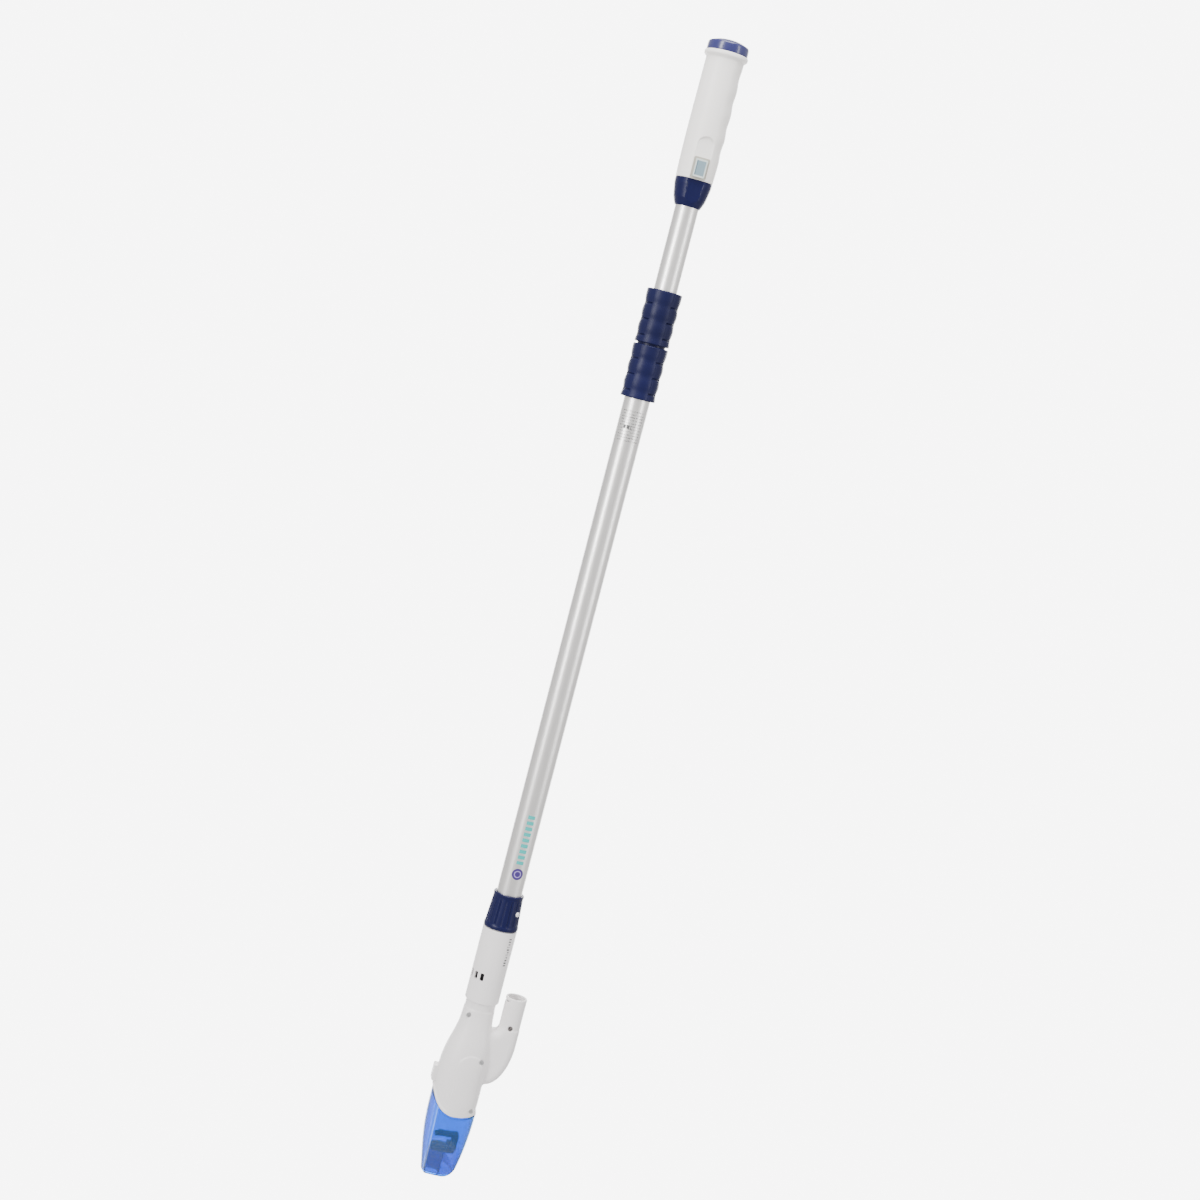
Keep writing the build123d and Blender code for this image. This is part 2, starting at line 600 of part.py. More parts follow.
def make_neck():
    neck = turned([
        (0, NECK_FOOT), (NECK_R - 0.5, NECK_FOOT), (NECK_R, NECK_FOOT + 0.6),
        (NECK_R, NECK_TOP - 0.6), (NECK_R - 0.5, NECK_TOP), (0, NECK_TOP),
    ])
    neck += rod(NECK_SPIGOT_R, NECK_TOP - 1, NECK_SPIGOT_TOP - 0.3)
    neck -= rod(NECK_BORE_R, NECK_FOOT - 1, LOWER_TUBE_FOOT - 1)
    neck -= rod(LOWER_R + 2 * SEAT, LOWER_TUBE_FOOT - 2, LOWER_TUBE_FOOT + 40)
    for i in range(VENT_COUNT):
        turn = 180 + VENT_PITCH * (i - (VENT_COUNT - 1) / 2) - 8.5
        vent = block(NECK_BORE_R - 1, 30, -VENT_W / 2, VENT_W / 2, VENT_Z - VENT_H / 2, VENT_Z + VENT_H / 2)
        neck -= radial(fillet(vent.edges().filter_by(Axis.X), 1.2), turn)
    save("neck_sleeve", neck)

    socket_top = LOWER_TUBE_FOOT - 1.5
    socket = rod(NECK_BORE_R - SEAT, socket_top - 12, socket_top)
    for x in (-PIN_X, PIN_X):
        socket -= rod(PIN_R + SEAT, LOWER_TUBE_FOOT - 9.1, socket_top + 1, x)
    save("head_socket", socket)
    leads = [rod(0.8, MOTOR_FOOT + MOTOR_LENGTH, socket_top - 12, x) for x in (-PIN_X, PIN_X)]
    save("motor_leads", *leads)
    save("neck_oring", tube(NECK_BORE_R - SEAT, NECK_BORE_R - 1.4 + SEAT, NECK_FOOT + 5, NECK_FOOT + 6.8))


def below_rim(drop=0.0):
    """Everything below the body's lower edge, shifted down by drop."""
    curve = Spline(*[(x, -60, z - drop) for x, z in RIM_CURVE])
    first, last = curve @ 0, curve @ 1
    frame = Polyline(
        last, (last.X - 30, -60, last.Z), (last.X - 30, -60, -60), (first.X + 30, -60, -60),
        (first.X + 30, -60, first.Z), first,
    )
    return extrude(make_face(Wire([curve, *frame.edges()])), 120, dir=(0, 1, 0))


def panel_mask():
    """An arch seen along Y, which marks the raised panel on each side of the body."""
    arch = block(-10, 17.5, -60, 60, 40, 130) + cross_rod(13.75, 3.75, 130, -60, 60)
    return arch


def section_at(z):
    """Front, back and half width of the pump body at one height."""
    above = min((row for row in BODY_SECTIONS if row[0] >= z), key=lambda row: row[0])
    below = max((row for row in BODY_SECTIONS if row[0] <= z), key=lambda row: row[0])
    share = 0 if above == below else (z - below[0]) / (above[0] - below[0])
    return [low + share * (high - low) for low, high in zip(below[1:], above[1:])]


def side_depth(x, z):
    """How far the pump body's near face is from the middle plane at one place."""
    front, back, half = section_at(z)
    offset = abs(x - (back - front) / 2) / ((back + front) / 2)
    return half * (1 - offset**OVAL_POWER) ** (1 / OVAL_POWER)


def body_shell():
    """The whole pump body before it is parted into halves."""
    outer = lofted(BODY_SECTIONS)
    lip = lofted(BODY_SECTIONS, LIP_GROWTH) & below_rim(-LIP_HEIGHT)
    panel = lofted(BODY_SECTIONS, PANEL_RAISE) & panel_mask()
    shell = outer + elbow() + lip + panel
    shell += rod(NECK_BORE_R - RUN, BODY_SECTIONS[0][0] - 1, BODY_TOP)
    shell -= tube(30, NECK_BORE_R - 1.4, NECK_FOOT + 5 - SEAT, NECK_FOOT + 6.8 + SEAT)
    hollow = lofted(BODY_SECTIONS, -BODY_WALL)
    hollow += rod(spigot_bore_r(), BODY_SECTIONS[0][0] - 6, BODY_TOP + 1)
    shell -= hollow
    shell -= elbow(-BODY_WALL)
    shell -= rod(OUTLET_BORE_R, SADDLE_Z, OUTLET_TOP + 1, OUTLET_X)
    for x, z in BODY_SCREWS:
        shell += cross_rod(BOSS_R, x, z, -side_depth(x, z) + 0.5, side_depth(x, z) - 0.5)
    low_x, low_z = LOW_SCREW
    shell += cross_rod(BOSS_R, low_x, low_z, -side_depth(low_x, low_z) + 0.5, 7 - side_depth(low_x, low_z))
    shell -= below_rim()
    window_w, window_h = LATCH_W / 2 + 0.35, LATCH_H / 2 + 0.35
    shell -= block(-40, -20, -window_w, window_w, LATCH_Z - window_h, LATCH_Z + window_h)
    return shell - cross_rod(OUTLET_HOLE_R, OUTLET_X, OUTLET_HOLE_Z, -30, 0)


def spigot_bore_r():
    """Inner radius of the body's spigot inside the neck."""
    return NECK_BORE_R - BODY_WALL - 0.5


def make_body():
    shell = body_shell()
    screws = []
    for x, z in (*BODY_SCREWS, LOW_SCREW):
        depth = side_depth(x, z)
        head_y = 1.4 - depth
        tip_y = 6.5 - depth if (x, z) == LOW_SCREW else depth - 3.0
        shell -= cross_rod(SCREW_HEAD_R + SEAT, x, z, -60, head_y)
        shell -= cross_rod(SCREW_R + SEAT, x, z, head_y - 1, tip_y + 0.2)
        head = cross_rod(SCREW_HEAD_R, x, z, head_y - 1.8, head_y)
        head -= block(x - 1.7, x + 1.7, head_y - 2, head_y - 0.9, z - 0.3, z + 0.3)
        head -= block(x - 0.3, x + 0.3, head_y - 2, head_y - 0.9, z - 1.7, z + 1.7)
        screws.append(head + cross_rod(SCREW_R, x, z, head_y, tip_y))
    save("body_half_near", shell & block(-80, 80, -60, 0, 0, 300))
    save("body_half_far", shell & block(-80, 80, 0, 60, 0, 300))
    save("body_screws", *screws)


def make_latch():
    half_w, half_h = LATCH_W / 2, LATCH_H / 2
    wall_x = -section_at(LATCH_Z)[0]
    inner_x = wall_x + BODY_WALL + 1.8
    pad = block(-LATCH_REACH, inner_x + 0.1, -half_w, half_w, LATCH_Z - half_h, LATCH_Z + half_h)
    pad = fillet(pad.edges().group_by(Axis.X)[0], 1.6)
    rim_w, rim_h = half_w + 1.2, half_h + 1.2
    flange = block(inner_x, inner_x + 1.2, -rim_w, rim_w, LATCH_Z - rim_h, LATCH_Z + rim_h)
    arm = block(inner_x + 0.6, inner_x + 2.0, -4, 4, LATCH_Z - half_h - 10, LATCH_Z)
    save("latch_button", pad + flange + arm)
    spring_foot = inner_x + 2.0
    coil = spring(3.0, 0.4, -PUMP_R - spring_foot - 0.1, 2.5)
    save("latch_spring", Pos(spring_foot + 0.05, 0, LATCH_Z + 4) * Rot(0, 90, 0) * coil)


def make_pump():
    housing = tube(PUMP_R, PUMP_R - 2, PUMP_FOOT, PUMP_TOP - 1) + rod(PUMP_R - 1, PUMP_FOOT, PUMP_FOOT + 2)
    housing += lofted(BODY_SECTIONS, -BODY_WALL - RUN) & block(-60, 60, -60, 60, PUMP_TOP - 2, PUMP_TOP)
    housing -= rod(8.0, PUMP_FOOT - 1, PUMP_FOOT + 3)
    housing -= rod(4.0 + SEAT, PUMP_TOP - 4, PUMP_TOP + 1)
    housing -= block(9, 30, -8, 8, PUMP_FOOT + 4, PUMP_TOP - 4)
    save("pump_housing", housing)
    save("shaft_bush", tube(4.0, SHAFT_R + RUN, PUMP_TOP - 3, PUMP_TOP + 1))

    blade_foot, disc_foot = PUMP_FOOT + 8, PUMP_FOOT + 18
    wheel = rod(4.0, blade_foot, disc_foot + 1) + rod(IMPELLER_R, disc_foot, disc_foot + 1.6)
    blade = tube(9.0, 7.8, blade_foot + 1, disc_foot + 0.5, 8.2, 5.0) & rod(IMPELLER_R - 0.4, 0, 300)
    blade &= block(-20, 20, -20, 5.0, 0, 300)
    for i in range(6):
        wheel += radial(blade, 60 * i)
    wheel -= rod(SHAFT_R, blade_foot - 1, disc_foot + 5)
    save("impeller", wheel)
    save("drive_shaft", rod(SHAFT_R, blade_foot - 0.8, MOTOR_FOOT + 6))

    cup_foot = MOTOR_FOOT - 9
    cup = rod(spigot_bore_r() - 0.3, cup_foot, MOTOR_FOOT + MOTOR_LENGTH + 4)
    cup -= rod(MOTOR_R + SEAT, MOTOR_FOOT, MOTOR_FOOT + MOTOR_LENGTH + 5)
    cup -= rod(SHAFT_R + 0.4, cup_foot - 1, MOTOR_FOOT + 1)
    cup -= rod(5.0 + SEAT, cup_foot - 1, cup_foot + 5)
    save("motor_cup", cup)
    save("shaft_seal", tube(5.0, SHAFT_R + RUN, cup_foot, cup_foot + 5))
    can = rod(MOTOR_R, MOTOR_FOOT, MOTOR_FOOT + MOTOR_LENGTH)
    can -= rod(SHAFT_R + RUN, MOTOR_FOOT - 1, MOTOR_FOOT + 6.5)
    save("motor", can)


# ---------------------------------------------------------------- nozzle
def nozzle_outline(inset=0.0):
    """The nozzle's side view: a prism with a tight front corner and a wide back corner at the lip."""
    front = Spline((-22.0, -60, 10 + inset), (-19.0, -60, 2.6 + inset), (-14.5, -60, inset))
    back = Spline((3.5, -60, inset), (12.5, -60, 3.0 + inset), (19.0, -60, 11 + inset))
    frame = Polyline(back @ 1, (60, -60, 60), (60, -60, 140), (-60, -60, 140), (-60, -60, 60), front @ 0)
    edges = [front, Line(front @ 1, back @ 0), back, *frame.edges()]
    return extrude(make_face(Wire(edges)), 120, dir=(0, 1, 0))


def port(grow=0.0):
    """The outline of the mouth at Z = 0, grown by one amount."""
    x0, x1 = MOUTH_X
    middle, reach = (x0 + x1) / 2, (x1 - x0) / 2
    return rounded(lambda u, v: (middle + u, v, 0), reach + grow, MOUTH_HALF_Y + grow, 2.5)


def port_rod(grow, z0, z1):
    return extrude(Pos(0, 0, z0) * port(grow), z1 - z0, dir=(0, 0, 1))


def rim_band(shape, low, high):
    """The part of a shape between two heights above the body's lower edge."""
    return (shape & below_rim(-high)) - below_rim(-low)


def screen_holes():
    """Staggered round holes, kept off the screen's edge and off the notch for the low screw."""
    middle, pitch = -2.4, SCREEN_PITCH
    holes = []
    for i in range(-5, 6):
        for j in range(-4, 5):
            x, y = middle + pitch * i, pitch * j + (pitch / 2 if i % 2 else 0)
            beside_notch = x > LOW_SCREW[0] - 7.5 and y < -8
            if math.hypot((x - middle) / 22.0, y / 18.5) < 0.92 and not beside_notch:
                holes.append(rod(SCREEN_HOLE_R, SCREEN_Z - 1, SCREEN_Z + 3, x, y))
    return holes


def make_nozzle():
    spigot_gap = BODY_WALL + 0.3
    below_top = block(-60, 60, -60, 60, RIM_Z - 7.5, NOZZLE_TOP)
    outer = nozzle_loft() & nozzle_outline() & below_rim(GAP)
    spigot = lofted(BODY_SECTIONS, -spigot_gap) & below_top
    cavity = nozzle_loft(-NOZZLE_WALL) & nozzle_outline(NOZZLE_WALL) & below_rim(3.0)
    throat = lofted(BODY_SECTIONS, -spigot_gap - 1.8)
    shell = outer + spigot - cavity - throat
    shell -= port_rod(0, -1, 4)
    low_x, low_z = LOW_SCREW
    notch = block(low_x - BOSS_R - 0.5, low_x + BOSS_R + 0.5, -40, 7.6 - side_depth(low_x, low_z),
                  RIM_Z + 3.8, NOZZLE_TOP + 1)
    shell -= notch
    ring = lofted(BODY_SECTIONS, -BODY_WALL - SEAT) - lofted(BODY_SECTIONS, -spigot_gap - 0.9)
    groove = lofted(BODY_SECTIONS) - lofted(BODY_SECTIONS, -spigot_gap - 0.9 - SEAT)
    shell -= rim_band(groove, 1.0, 2.8)
    save("nozzle", shell)
    save("nozzle_seal", rim_band(ring, 1.0 + SEAT, 2.8 - SEAT))

    screen = lofted(BODY_SECTIONS, -spigot_gap - 1.8 - SEAT)
    screen &= block(-60, 60, -60, 60, SCREEN_Z, SCREEN_Z + 1.6)
    screen -= notch
    save("debris_screen", screen - screen_holes())

    inside = nozzle_loft(-NOZZLE_WALL - SEAT) & nozzle_outline(NOZZLE_WALL + SEAT)
    chute = port_rod(CHUTE_WALL, NOZZLE_WALL, CHUTE_TOP) - port_rod(0, 0, CHUTE_TOP + 1)
    chute &= inside
    ramp_curve = Spline((MOUTH_X[1] + 0.6, -60, 19), (7.0, -60, 16.6), (11.5, -60, 12.0), (15.5, -60, 6.0))
    ramp_back = Spline((MOUTH_X[1] + 0.6, -60, 17.8), (6.4, -60, 15.5), (10.6, -60, 11.3), (14.4, -60, 5.4))
    ends = [Line(ramp_curve @ 1, ramp_back @ 1), Line(ramp_back @ 0, ramp_curve @ 0)]
    ramp = extrude(make_face(Wire([ramp_curve, ramp_back, *ends])), 120, dir=(0, 1, 0))
    ramp &= inside
    chute += ramp - port_rod(0.3, 0, CHUTE_TOP + 1)
    save("intake_chute", chute)


def make_valve():
    seat_top = CHUTE_TOP + 3.8
    hinge_x, hinge_z = FLAP_HINGE_X, FLAP_HINGE_Z
    ear_in = 7.9
    middle, reach = -1.2, 13.9
    plate = rounded(lambda u, v: (middle + u, v, CHUTE_TOP), reach, 9.6, 3.0)
    cage = extrude(plate, seat_top - CHUTE_TOP, dir=(0, 0, 1)) - port_rod(-0.6, 0, 60)
    cage += block(hinge_x + 2.0, 12.7, -6.5, 6.5, seat_top - 0.5, CAGE_TOP)
    roof = side_cut([
        (12.7, CAGE_TOP), (-8.0, CAGE_TOP), (-13.6, CAGE_TOP - 3.0), (-12.2, CAGE_TOP - 4.4),
        (-6.0, CAGE_TOP - 3.3), (12.7, CAGE_TOP - 3.3),
    ], 5.0)
    cage += roof
    for side in (-1, 1):
        y0, y1 = sorted((side * ear_in, side * 9.3))
        cage += block(hinge_x - 1.5, hinge_x + 2.4, y0, y1, seat_top - 0.5, hinge_z + 2.0)
    cage -= cross_rod(FLAP_PIN_R, hinge_x, hinge_z, -10, 10)
    cage = cage - (cross_rod(2.0, hinge_x, hinge_z, -ear_in, ear_in))
    save("valve_cage", cage)
    save("flap_pin", cross_rod(FLAP_PIN_R - 0.01, hinge_x, hinge_z, -9.3, 9.3))

    flap_z = seat_top + 0.3
    middle, reach = -4.9, 9.3
    leaf = rounded(lambda u, v: (middle + u, v, flap_z), reach, 7.5, 3.0)
    flap = extrude(leaf, 1.2, dir=(0, 0, 1)) + cross_rod(1.5, hinge_x, hinge_z, -7.5, 7.5)
    save("flap_valve", flap - cross_rod(FLAP_PIN_R + RUN, hinge_x, hinge_z, -10, 10))


def main():
    os.makedirs("parts", exist_ok=True)
    make_tubes()
    make_twist_lock()
    make_inner_pole()
    make_handle()
    make_cap()
    make_battery()
    make_switch()
    make_handle_collar()
    make_head_collar()
    make_neck()
    make_body()
    make_latch()
    make_pump()
    make_nozzle()
    make_valve()


main()
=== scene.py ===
"""Looks for the telescopic battery stick vacuum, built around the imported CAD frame.

Metres. +Z runs up the pole, +X points to the outlet tube, and the switch faces -Y.
"""

import json
import math

import bmesh
import bpy
import numpy as np
from mathutils import Matrix, Vector


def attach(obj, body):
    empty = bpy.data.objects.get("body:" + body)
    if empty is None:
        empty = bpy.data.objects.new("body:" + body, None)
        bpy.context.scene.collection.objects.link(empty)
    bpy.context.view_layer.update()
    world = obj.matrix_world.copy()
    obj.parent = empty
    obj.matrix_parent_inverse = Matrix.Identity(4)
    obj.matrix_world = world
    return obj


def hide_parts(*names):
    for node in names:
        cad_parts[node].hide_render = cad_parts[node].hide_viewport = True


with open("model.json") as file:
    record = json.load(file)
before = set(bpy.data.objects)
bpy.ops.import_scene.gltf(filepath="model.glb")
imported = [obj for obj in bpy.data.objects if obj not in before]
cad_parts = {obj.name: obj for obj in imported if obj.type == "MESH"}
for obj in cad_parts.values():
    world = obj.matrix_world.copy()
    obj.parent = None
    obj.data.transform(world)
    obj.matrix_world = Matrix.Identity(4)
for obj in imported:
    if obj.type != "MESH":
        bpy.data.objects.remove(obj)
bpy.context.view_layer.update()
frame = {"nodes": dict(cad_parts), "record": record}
NODES = frame["nodes"]
MM = 0.001

# ---------------------------------------------------------------- camera
CAMERA_DISTANCE = 2.083  # from the pole's axis, level
CAMERA_HEIGHT = 0.897
CAMERA_SIDE = math.radians(-8.5)  # 0 looks along +Y, negative comes round to the latch
CAMERA_DOWN = math.radians(6.6)
CAMERA_YAW = math.radians(0.417)
CAMERA_ROLL = math.radians(14.58)
LENS = 59.4
SENSOR = 36.0


def make_camera():
    data = bpy.data.cameras.new("camera")
    data.lens = LENS
    data.sensor_width = SENSOR
    camera = bpy.data.objects.new("camera", data)
    bpy.context.scene.collection.objects.link(camera)
    camera.location = (
        CAMERA_DISTANCE * math.sin(CAMERA_SIDE),
        -CAMERA_DISTANCE * math.cos(CAMERA_SIDE),
        CAMERA_HEIGHT,
    )
    turn = Matrix.Rotation(CAMERA_SIDE - CAMERA_YAW, 4, "Z")
    tilt = Matrix.Rotation(math.radians(90) - CAMERA_DOWN, 4, "X")
    roll = Matrix.Rotation(CAMERA_ROLL, 4, "Z")
    camera.matrix_world = Matrix.Translation(camera.location) @ turn @ tilt @ roll
    bpy.context.scene.camera = camera


# ---------------------------------------------------------------- light and floor
FLOOR_Z = -0.45
FLOOR_REACH = 0.6
BACKDROP_AIM = (0.147, 0.983, -0.115)  # from the camera through the object
BACKDROP_EDGE = (0.80, 0.90)  # cosines from that aim where the glow starts and is full
BACKDROP_GLOW = 7.5
ROOM_GLOW = 0.95
FLOOR_SIDES = 64
SOFTBOXES = (  # name, place, aim, size, watts
    ("left_softbox", (-1.7, -1.5, 1.3), (0, 0, 0.6), (0.5, 2.4), 66),
    ("right_softbox", (1.9, -1.5, 1.2), (0, 0, 0.6), (0.4, 2.4), 26),
    ("top_softbox", (-0.2, -0.5, 2.5), (0, 0, 0.9), (1.3, 1.3), 48),
)


def area_light(name, place, aim, size, power):
    data = bpy.data.lights.new(name, "AREA")
    data.shape = "RECTANGLE"
    data.size, data.size_y = size
    data.energy = power
    lamp = bpy.data.objects.new(name, data)
    bpy.context.scene.collection.objects.link(lamp)
    lamp.location = place
    lamp.rotation_euler = (Vector(aim) - Vector(place)).to_track_quat("-Z", "Y").to_euler()


def make_world():
    """A pale room, brighter on the side that the photograph looks towards."""
    world = bpy.data.worlds.new("studio")
    bpy.context.scene.world = world
    world.use_nodes = True
    tree = world.node_tree
    background = tree.nodes["Background"]
    background.inputs["Color"].default_value = (1.0, 1.0, 1.0, 1)
    facing = add(tree, "ShaderNodeVectorMath", operation="DOT_PRODUCT")
    facing.inputs[1].default_value = BACKDROP_AIM
    tree.links.new(add(tree, "ShaderNodeTexCoord").outputs["Generated"], facing.inputs[0])
    glow = add(tree, "ShaderNodeMapRange", interpolation_type="SMOOTHSTEP")
    glow.inputs["From Min"].default_value, glow.inputs["From Max"].default_value = BACKDROP_EDGE
    glow.inputs["To Min"].default_value = ROOM_GLOW
    glow.inputs["To Max"].default_value = BACKDROP_GLOW
    tree.links.new(facing.outputs["Value"], glow.inputs["Value"])
    tree.links.new(glow.outputs["Result"], background.inputs["Strength"])


def make_studio():
    make_world()
    for softbox in SOFTBOXES:
        area_light(*softbox)

    mesh = bpy.data.meshes.new("floor")
    turns = [2 * math.pi * i / FLOOR_SIDES for i in range(FLOOR_SIDES)]
    rim = [(FLOOR_REACH * math.cos(t), FLOOR_REACH * math.sin(t), 0) for t in turns]
    mesh.from_pydata(rim, [], [tuple(range(FLOOR_SIDES))])
    floor = bpy.data.objects.new("floor", mesh)
    bpy.context.scene.collection.objects.link(floor)
    floor.location.z = FLOOR_Z
    mesh.materials.append(plastic("floor_paint", (0.9, 0.9, 0.9), rough=0.9, mottle=0.01, grain=0.0))


# ---------------------------------------------------------------- materials
DRAWN = (1, 1, 0.02)  # stretches noise into lines along Z
EVEN = (1, 1, 1)
LINE_DEPTH = 0.000012
PLASTIC_IOR = 1.45
WHITE = (0.84, 0.81, 0.805)
ALUMINIUM = (0.84, 0.82, 0.80)
NOZZLE_BLUE = (0.012, 0.21, 0.66)


def nodes_of(name):
    """A new node material, its tree and its shader."""
    material = bpy.data.materials.new(name)
    material.use_nodes = True
    tree = material.node_tree
    return material, tree, tree.nodes["Principled BSDF"]


def add(tree, kind, **values):
    """A new shader node with its settings."""
    node = tree.nodes.new(kind)
    for key, value in values.items():
        setattr(node, key, value)
    return node


def place_of(tree):
    """The place in the object, in metres."""
    return add(tree, "ShaderNodeTexCoord").outputs["Object"]


def noise(tree, scale, detail=3.0, stretch=None):
    """A noise value, its size set in features per metre, stretched along an axis if asked."""
    place = place_of(tree)
    if stretch:
        mapping = add(tree, "ShaderNodeMapping")
        mapping.inputs["Scale"].default_value = stretch
        tree.links.new(place, mapping.inputs["Vector"])
        place = mapping.outputs["Vector"]
    node = add(tree, "ShaderNodeTexNoise")
    node.inputs["Scale"].default_value = scale
    node.inputs["Detail"].default_value = detail
    tree.links.new(place, node.inputs["Vector"])
    return node.outputs["Fac"]


def ramp(tree, value, low, high, start=0.3, end=0.7):
    """Turns a value into a colour between two."""
    node = add(tree, "ShaderNodeValToRGB")
    node.color_ramp.elements[0].position = start
    node.color_ramp.elements[1].position = end
    node.color_ramp.elements[0].color = (*low, 1)
    node.color_ramp.elements[1].color = (*high, 1)
    tree.links.new(value, node.inputs["Fac"])
    return node.outputs["Color"]


def spread(tree, value, low, high):
    """Maps a noise value to a range."""
    node = add(tree, "ShaderNodeMapRange")
    node.inputs["From Min"].default_value = 0.3
    node.inputs["From Max"].default_value = 0.7
    node.inputs["To Min"].default_value = low
    node.inputs["To Max"].default_value = high
    tree.links.new(value, node.inputs["Value"])
    return node.outputs["Result"]


def bump(tree, value, depth, strength):
    """A normal raised by a value, its depth in metres."""
    node = add(tree, "ShaderNodeBump")
    node.inputs["Distance"].default_value = depth
    node.inputs["Strength"].default_value = strength
    tree.links.new(value, node.inputs["Height"])
    return node.outputs["Normal"]


def tint(colour, gain):
    """The colour made lighter or darker."""
    return tuple(min(1.0, c * gain) for c in colour)


def plastic(name, colour, rough=0.35, mottle=0.04, grain=0.00004, grain_scale=1500.0, spec=0.5, coat=0.0):
    """Moulded plastic: a little uneven in colour and gloss, with a fine surface grain."""
    material, tree, shader = nodes_of(name)
    cloud = noise(tree, 18.0, 4.0)
    shade = ramp(tree, cloud, tint(colour, 1 - mottle), tint(colour, 1 + mottle))
    tree.links.new(shade, shader.inputs["Base Color"])
    tree.links.new(spread(tree, noise(tree, 60.0), rough - 0.05, rough + 0.05), shader.inputs["Roughness"])
    shader.inputs["Specular IOR Level"].default_value = spec
    shader.inputs["Coat Weight"].default_value = coat
    shader.inputs["Coat Roughness"].default_value = 0.15
    if grain:
        tree.links.new(bump(tree, noise(tree, grain_scale, 2.0), grain, 0.6), shader.inputs["Normal"])
    return material


def metal(name, colour, rough, stretch=DRAWN):
    """Drawn or anodised metal with fine lines along Z."""
    material, tree, shader = nodes_of(name)
    lines = noise(tree, 2600.0, 3.0, stretch)
    shade = ramp(tree, noise(tree, 25.0, 3.0, (1, 1, 0.15)), tint(colour, 0.96), tint(colour, 1.03))
    tree.links.new(shade, shader.inputs["Base Color"])
    tree.links.new(spread(tree, lines, rough - 0.05, rough + 0.07), shader.inputs["Roughness"])
    tree.links.new(bump(tree, lines, LINE_DEPTH, 0.5), shader.inputs["Normal"])
    shader.inputs["Metallic"].default_value = 1.0
    return material


def clear(name, colour, rough=0.12, alpha=0.5, transmission=0.0):
    """Tinted clear plastic."""
    material, tree, shader = nodes_of(name)
    cloud = noise(tree, 30.0, 2.0)
    tree.links.new(ramp(tree, cloud, tint(colour, 0.93), tint(colour, 1.05)), shader.inputs["Base Color"])
    tree.links.new(spread(tree, noise(tree, 90.0), rough - 0.03, rough + 0.04), shader.inputs["Roughness"])
    shader.inputs["Alpha"].default_value = alpha
    shader.inputs["Transmission Weight"].default_value = transmission
    shader.inputs["IOR"].default_value = PLASTIC_IOR
    return material


def maths(tree, operation, *values):
    """One Math node; each value is a number or another node's output."""
    node = add(tree, "ShaderNodeMath", operation=operation)
    for i, value in enumerate(values):
        if isinstance(value, (int, float)):
            node.inputs[i].default_value = value
        else:
            tree.links.new(value, node.inputs[i])
    return node.outputs[0]


def within(tree, value, middle, half, soft=0.0002):
    """1 where the value is inside a range, 0 outside, with a soft edge."""
    away = maths(tree, "ABSOLUTE", maths(tree, "SUBTRACT", value, middle))
    edge = add(tree, "ShaderNodeMapRange")
    edge.inputs["From Min"].default_value = half
    edge.inputs["From Max"].default_value = half + soft
    edge.inputs["To Min"].default_value = 1.0
    edge.inputs["To Max"].default_value = 0.0
    tree.links.new(away, edge.inputs["Value"])
    return edge.outputs["Result"]


def all_of(tree, *masks):
    """1 only where every mask is 1."""
    result = masks[0]
    for mask in masks[1:]:
        result = maths(tree, "MULTIPLY", result, mask)
    return result


def paint(tree, base, mask, colour):
    """Lays a colour over another where the mask is 1."""
    node = add(tree, "ShaderNodeMix", data_type="RGBA")
    tree.links.new(mask, node.inputs[0])
    tree.links.new(base, node.inputs[6])
    node.inputs[7].default_value = (*colour, 1)
    return node.outputs[2]


def round_the_pole(tree, radius):
    """(distance round a tube from the side that the photograph shows, height), in metres."""
    split = add(tree, "ShaderNodeSeparateXYZ")
    tree.links.new(place_of(tree), split.inputs[0])
    x, y, z = split.outputs
    across = maths(tree, "ADD", maths(tree, "MULTIPLY", x, math.cos(CAMERA_SIDE)),
                   maths(tree, "MULTIPLY", y, math.sin(CAMERA_SIDE)))
    towards = maths(tree, "SUBTRACT", maths(tree, "MULTIPLY", x, math.sin(CAMERA_SIDE)),
                    maths(tree, "MULTIPLY", y, math.cos(CAMERA_SIDE)))
    return maths(tree, "MULTIPLY", maths(tree, "ARCTAN2", across, towards), radius), z


def stripes(tree, value, pitch, share):
    """A row of bars: 1 over that share of each pitch."""
    wrapped = maths(tree, "WRAP", value, pitch, 0.0)
    return within(tree, wrapped, pitch / 2, pitch * share / 2, pitch * 0.08)


def recolour(tree, shader, marks):
    """Lays printed marks, each (mask, colour), over the shader's colour."""
    base = shader.inputs["Base Color"].links[0].from_socket
    for mask, colour in marks:
        base = paint(tree, base, mask, colour)
    tree.links.new(base, shader.inputs["Base Color"])


TUBE_R = 0.014
BARS_Z = (0.3885, 0.0285)  # middle and half height of each printed mark, as for the half widths below
BARS_U = (0.0032, 0.0038)
BADGE_U, BADGE_Z, BADGE_R = 0.0036, 0.349, 0.0062
BADGE_RING = (0.0034, 0.0004)
LABEL_U, LABEL_Z = (0.0, 0.0125), (0.8418, 0.0172)
LABEL_BAR_U, LABEL_BAR_Z = (-0.003, 0.0042), (0.8405, 0.0018)
NECK_R = 0.0188
NECK_MARK_U, NECK_MARK_Z = (0.0160, 0.0017), (0.2625, 0.0155)
COVER_Z = 1.1142
COVER_BORDER = (0.0061, 0.0091)  # half width and half height
COVER_WINDOW = (0.0047, 0.0073)


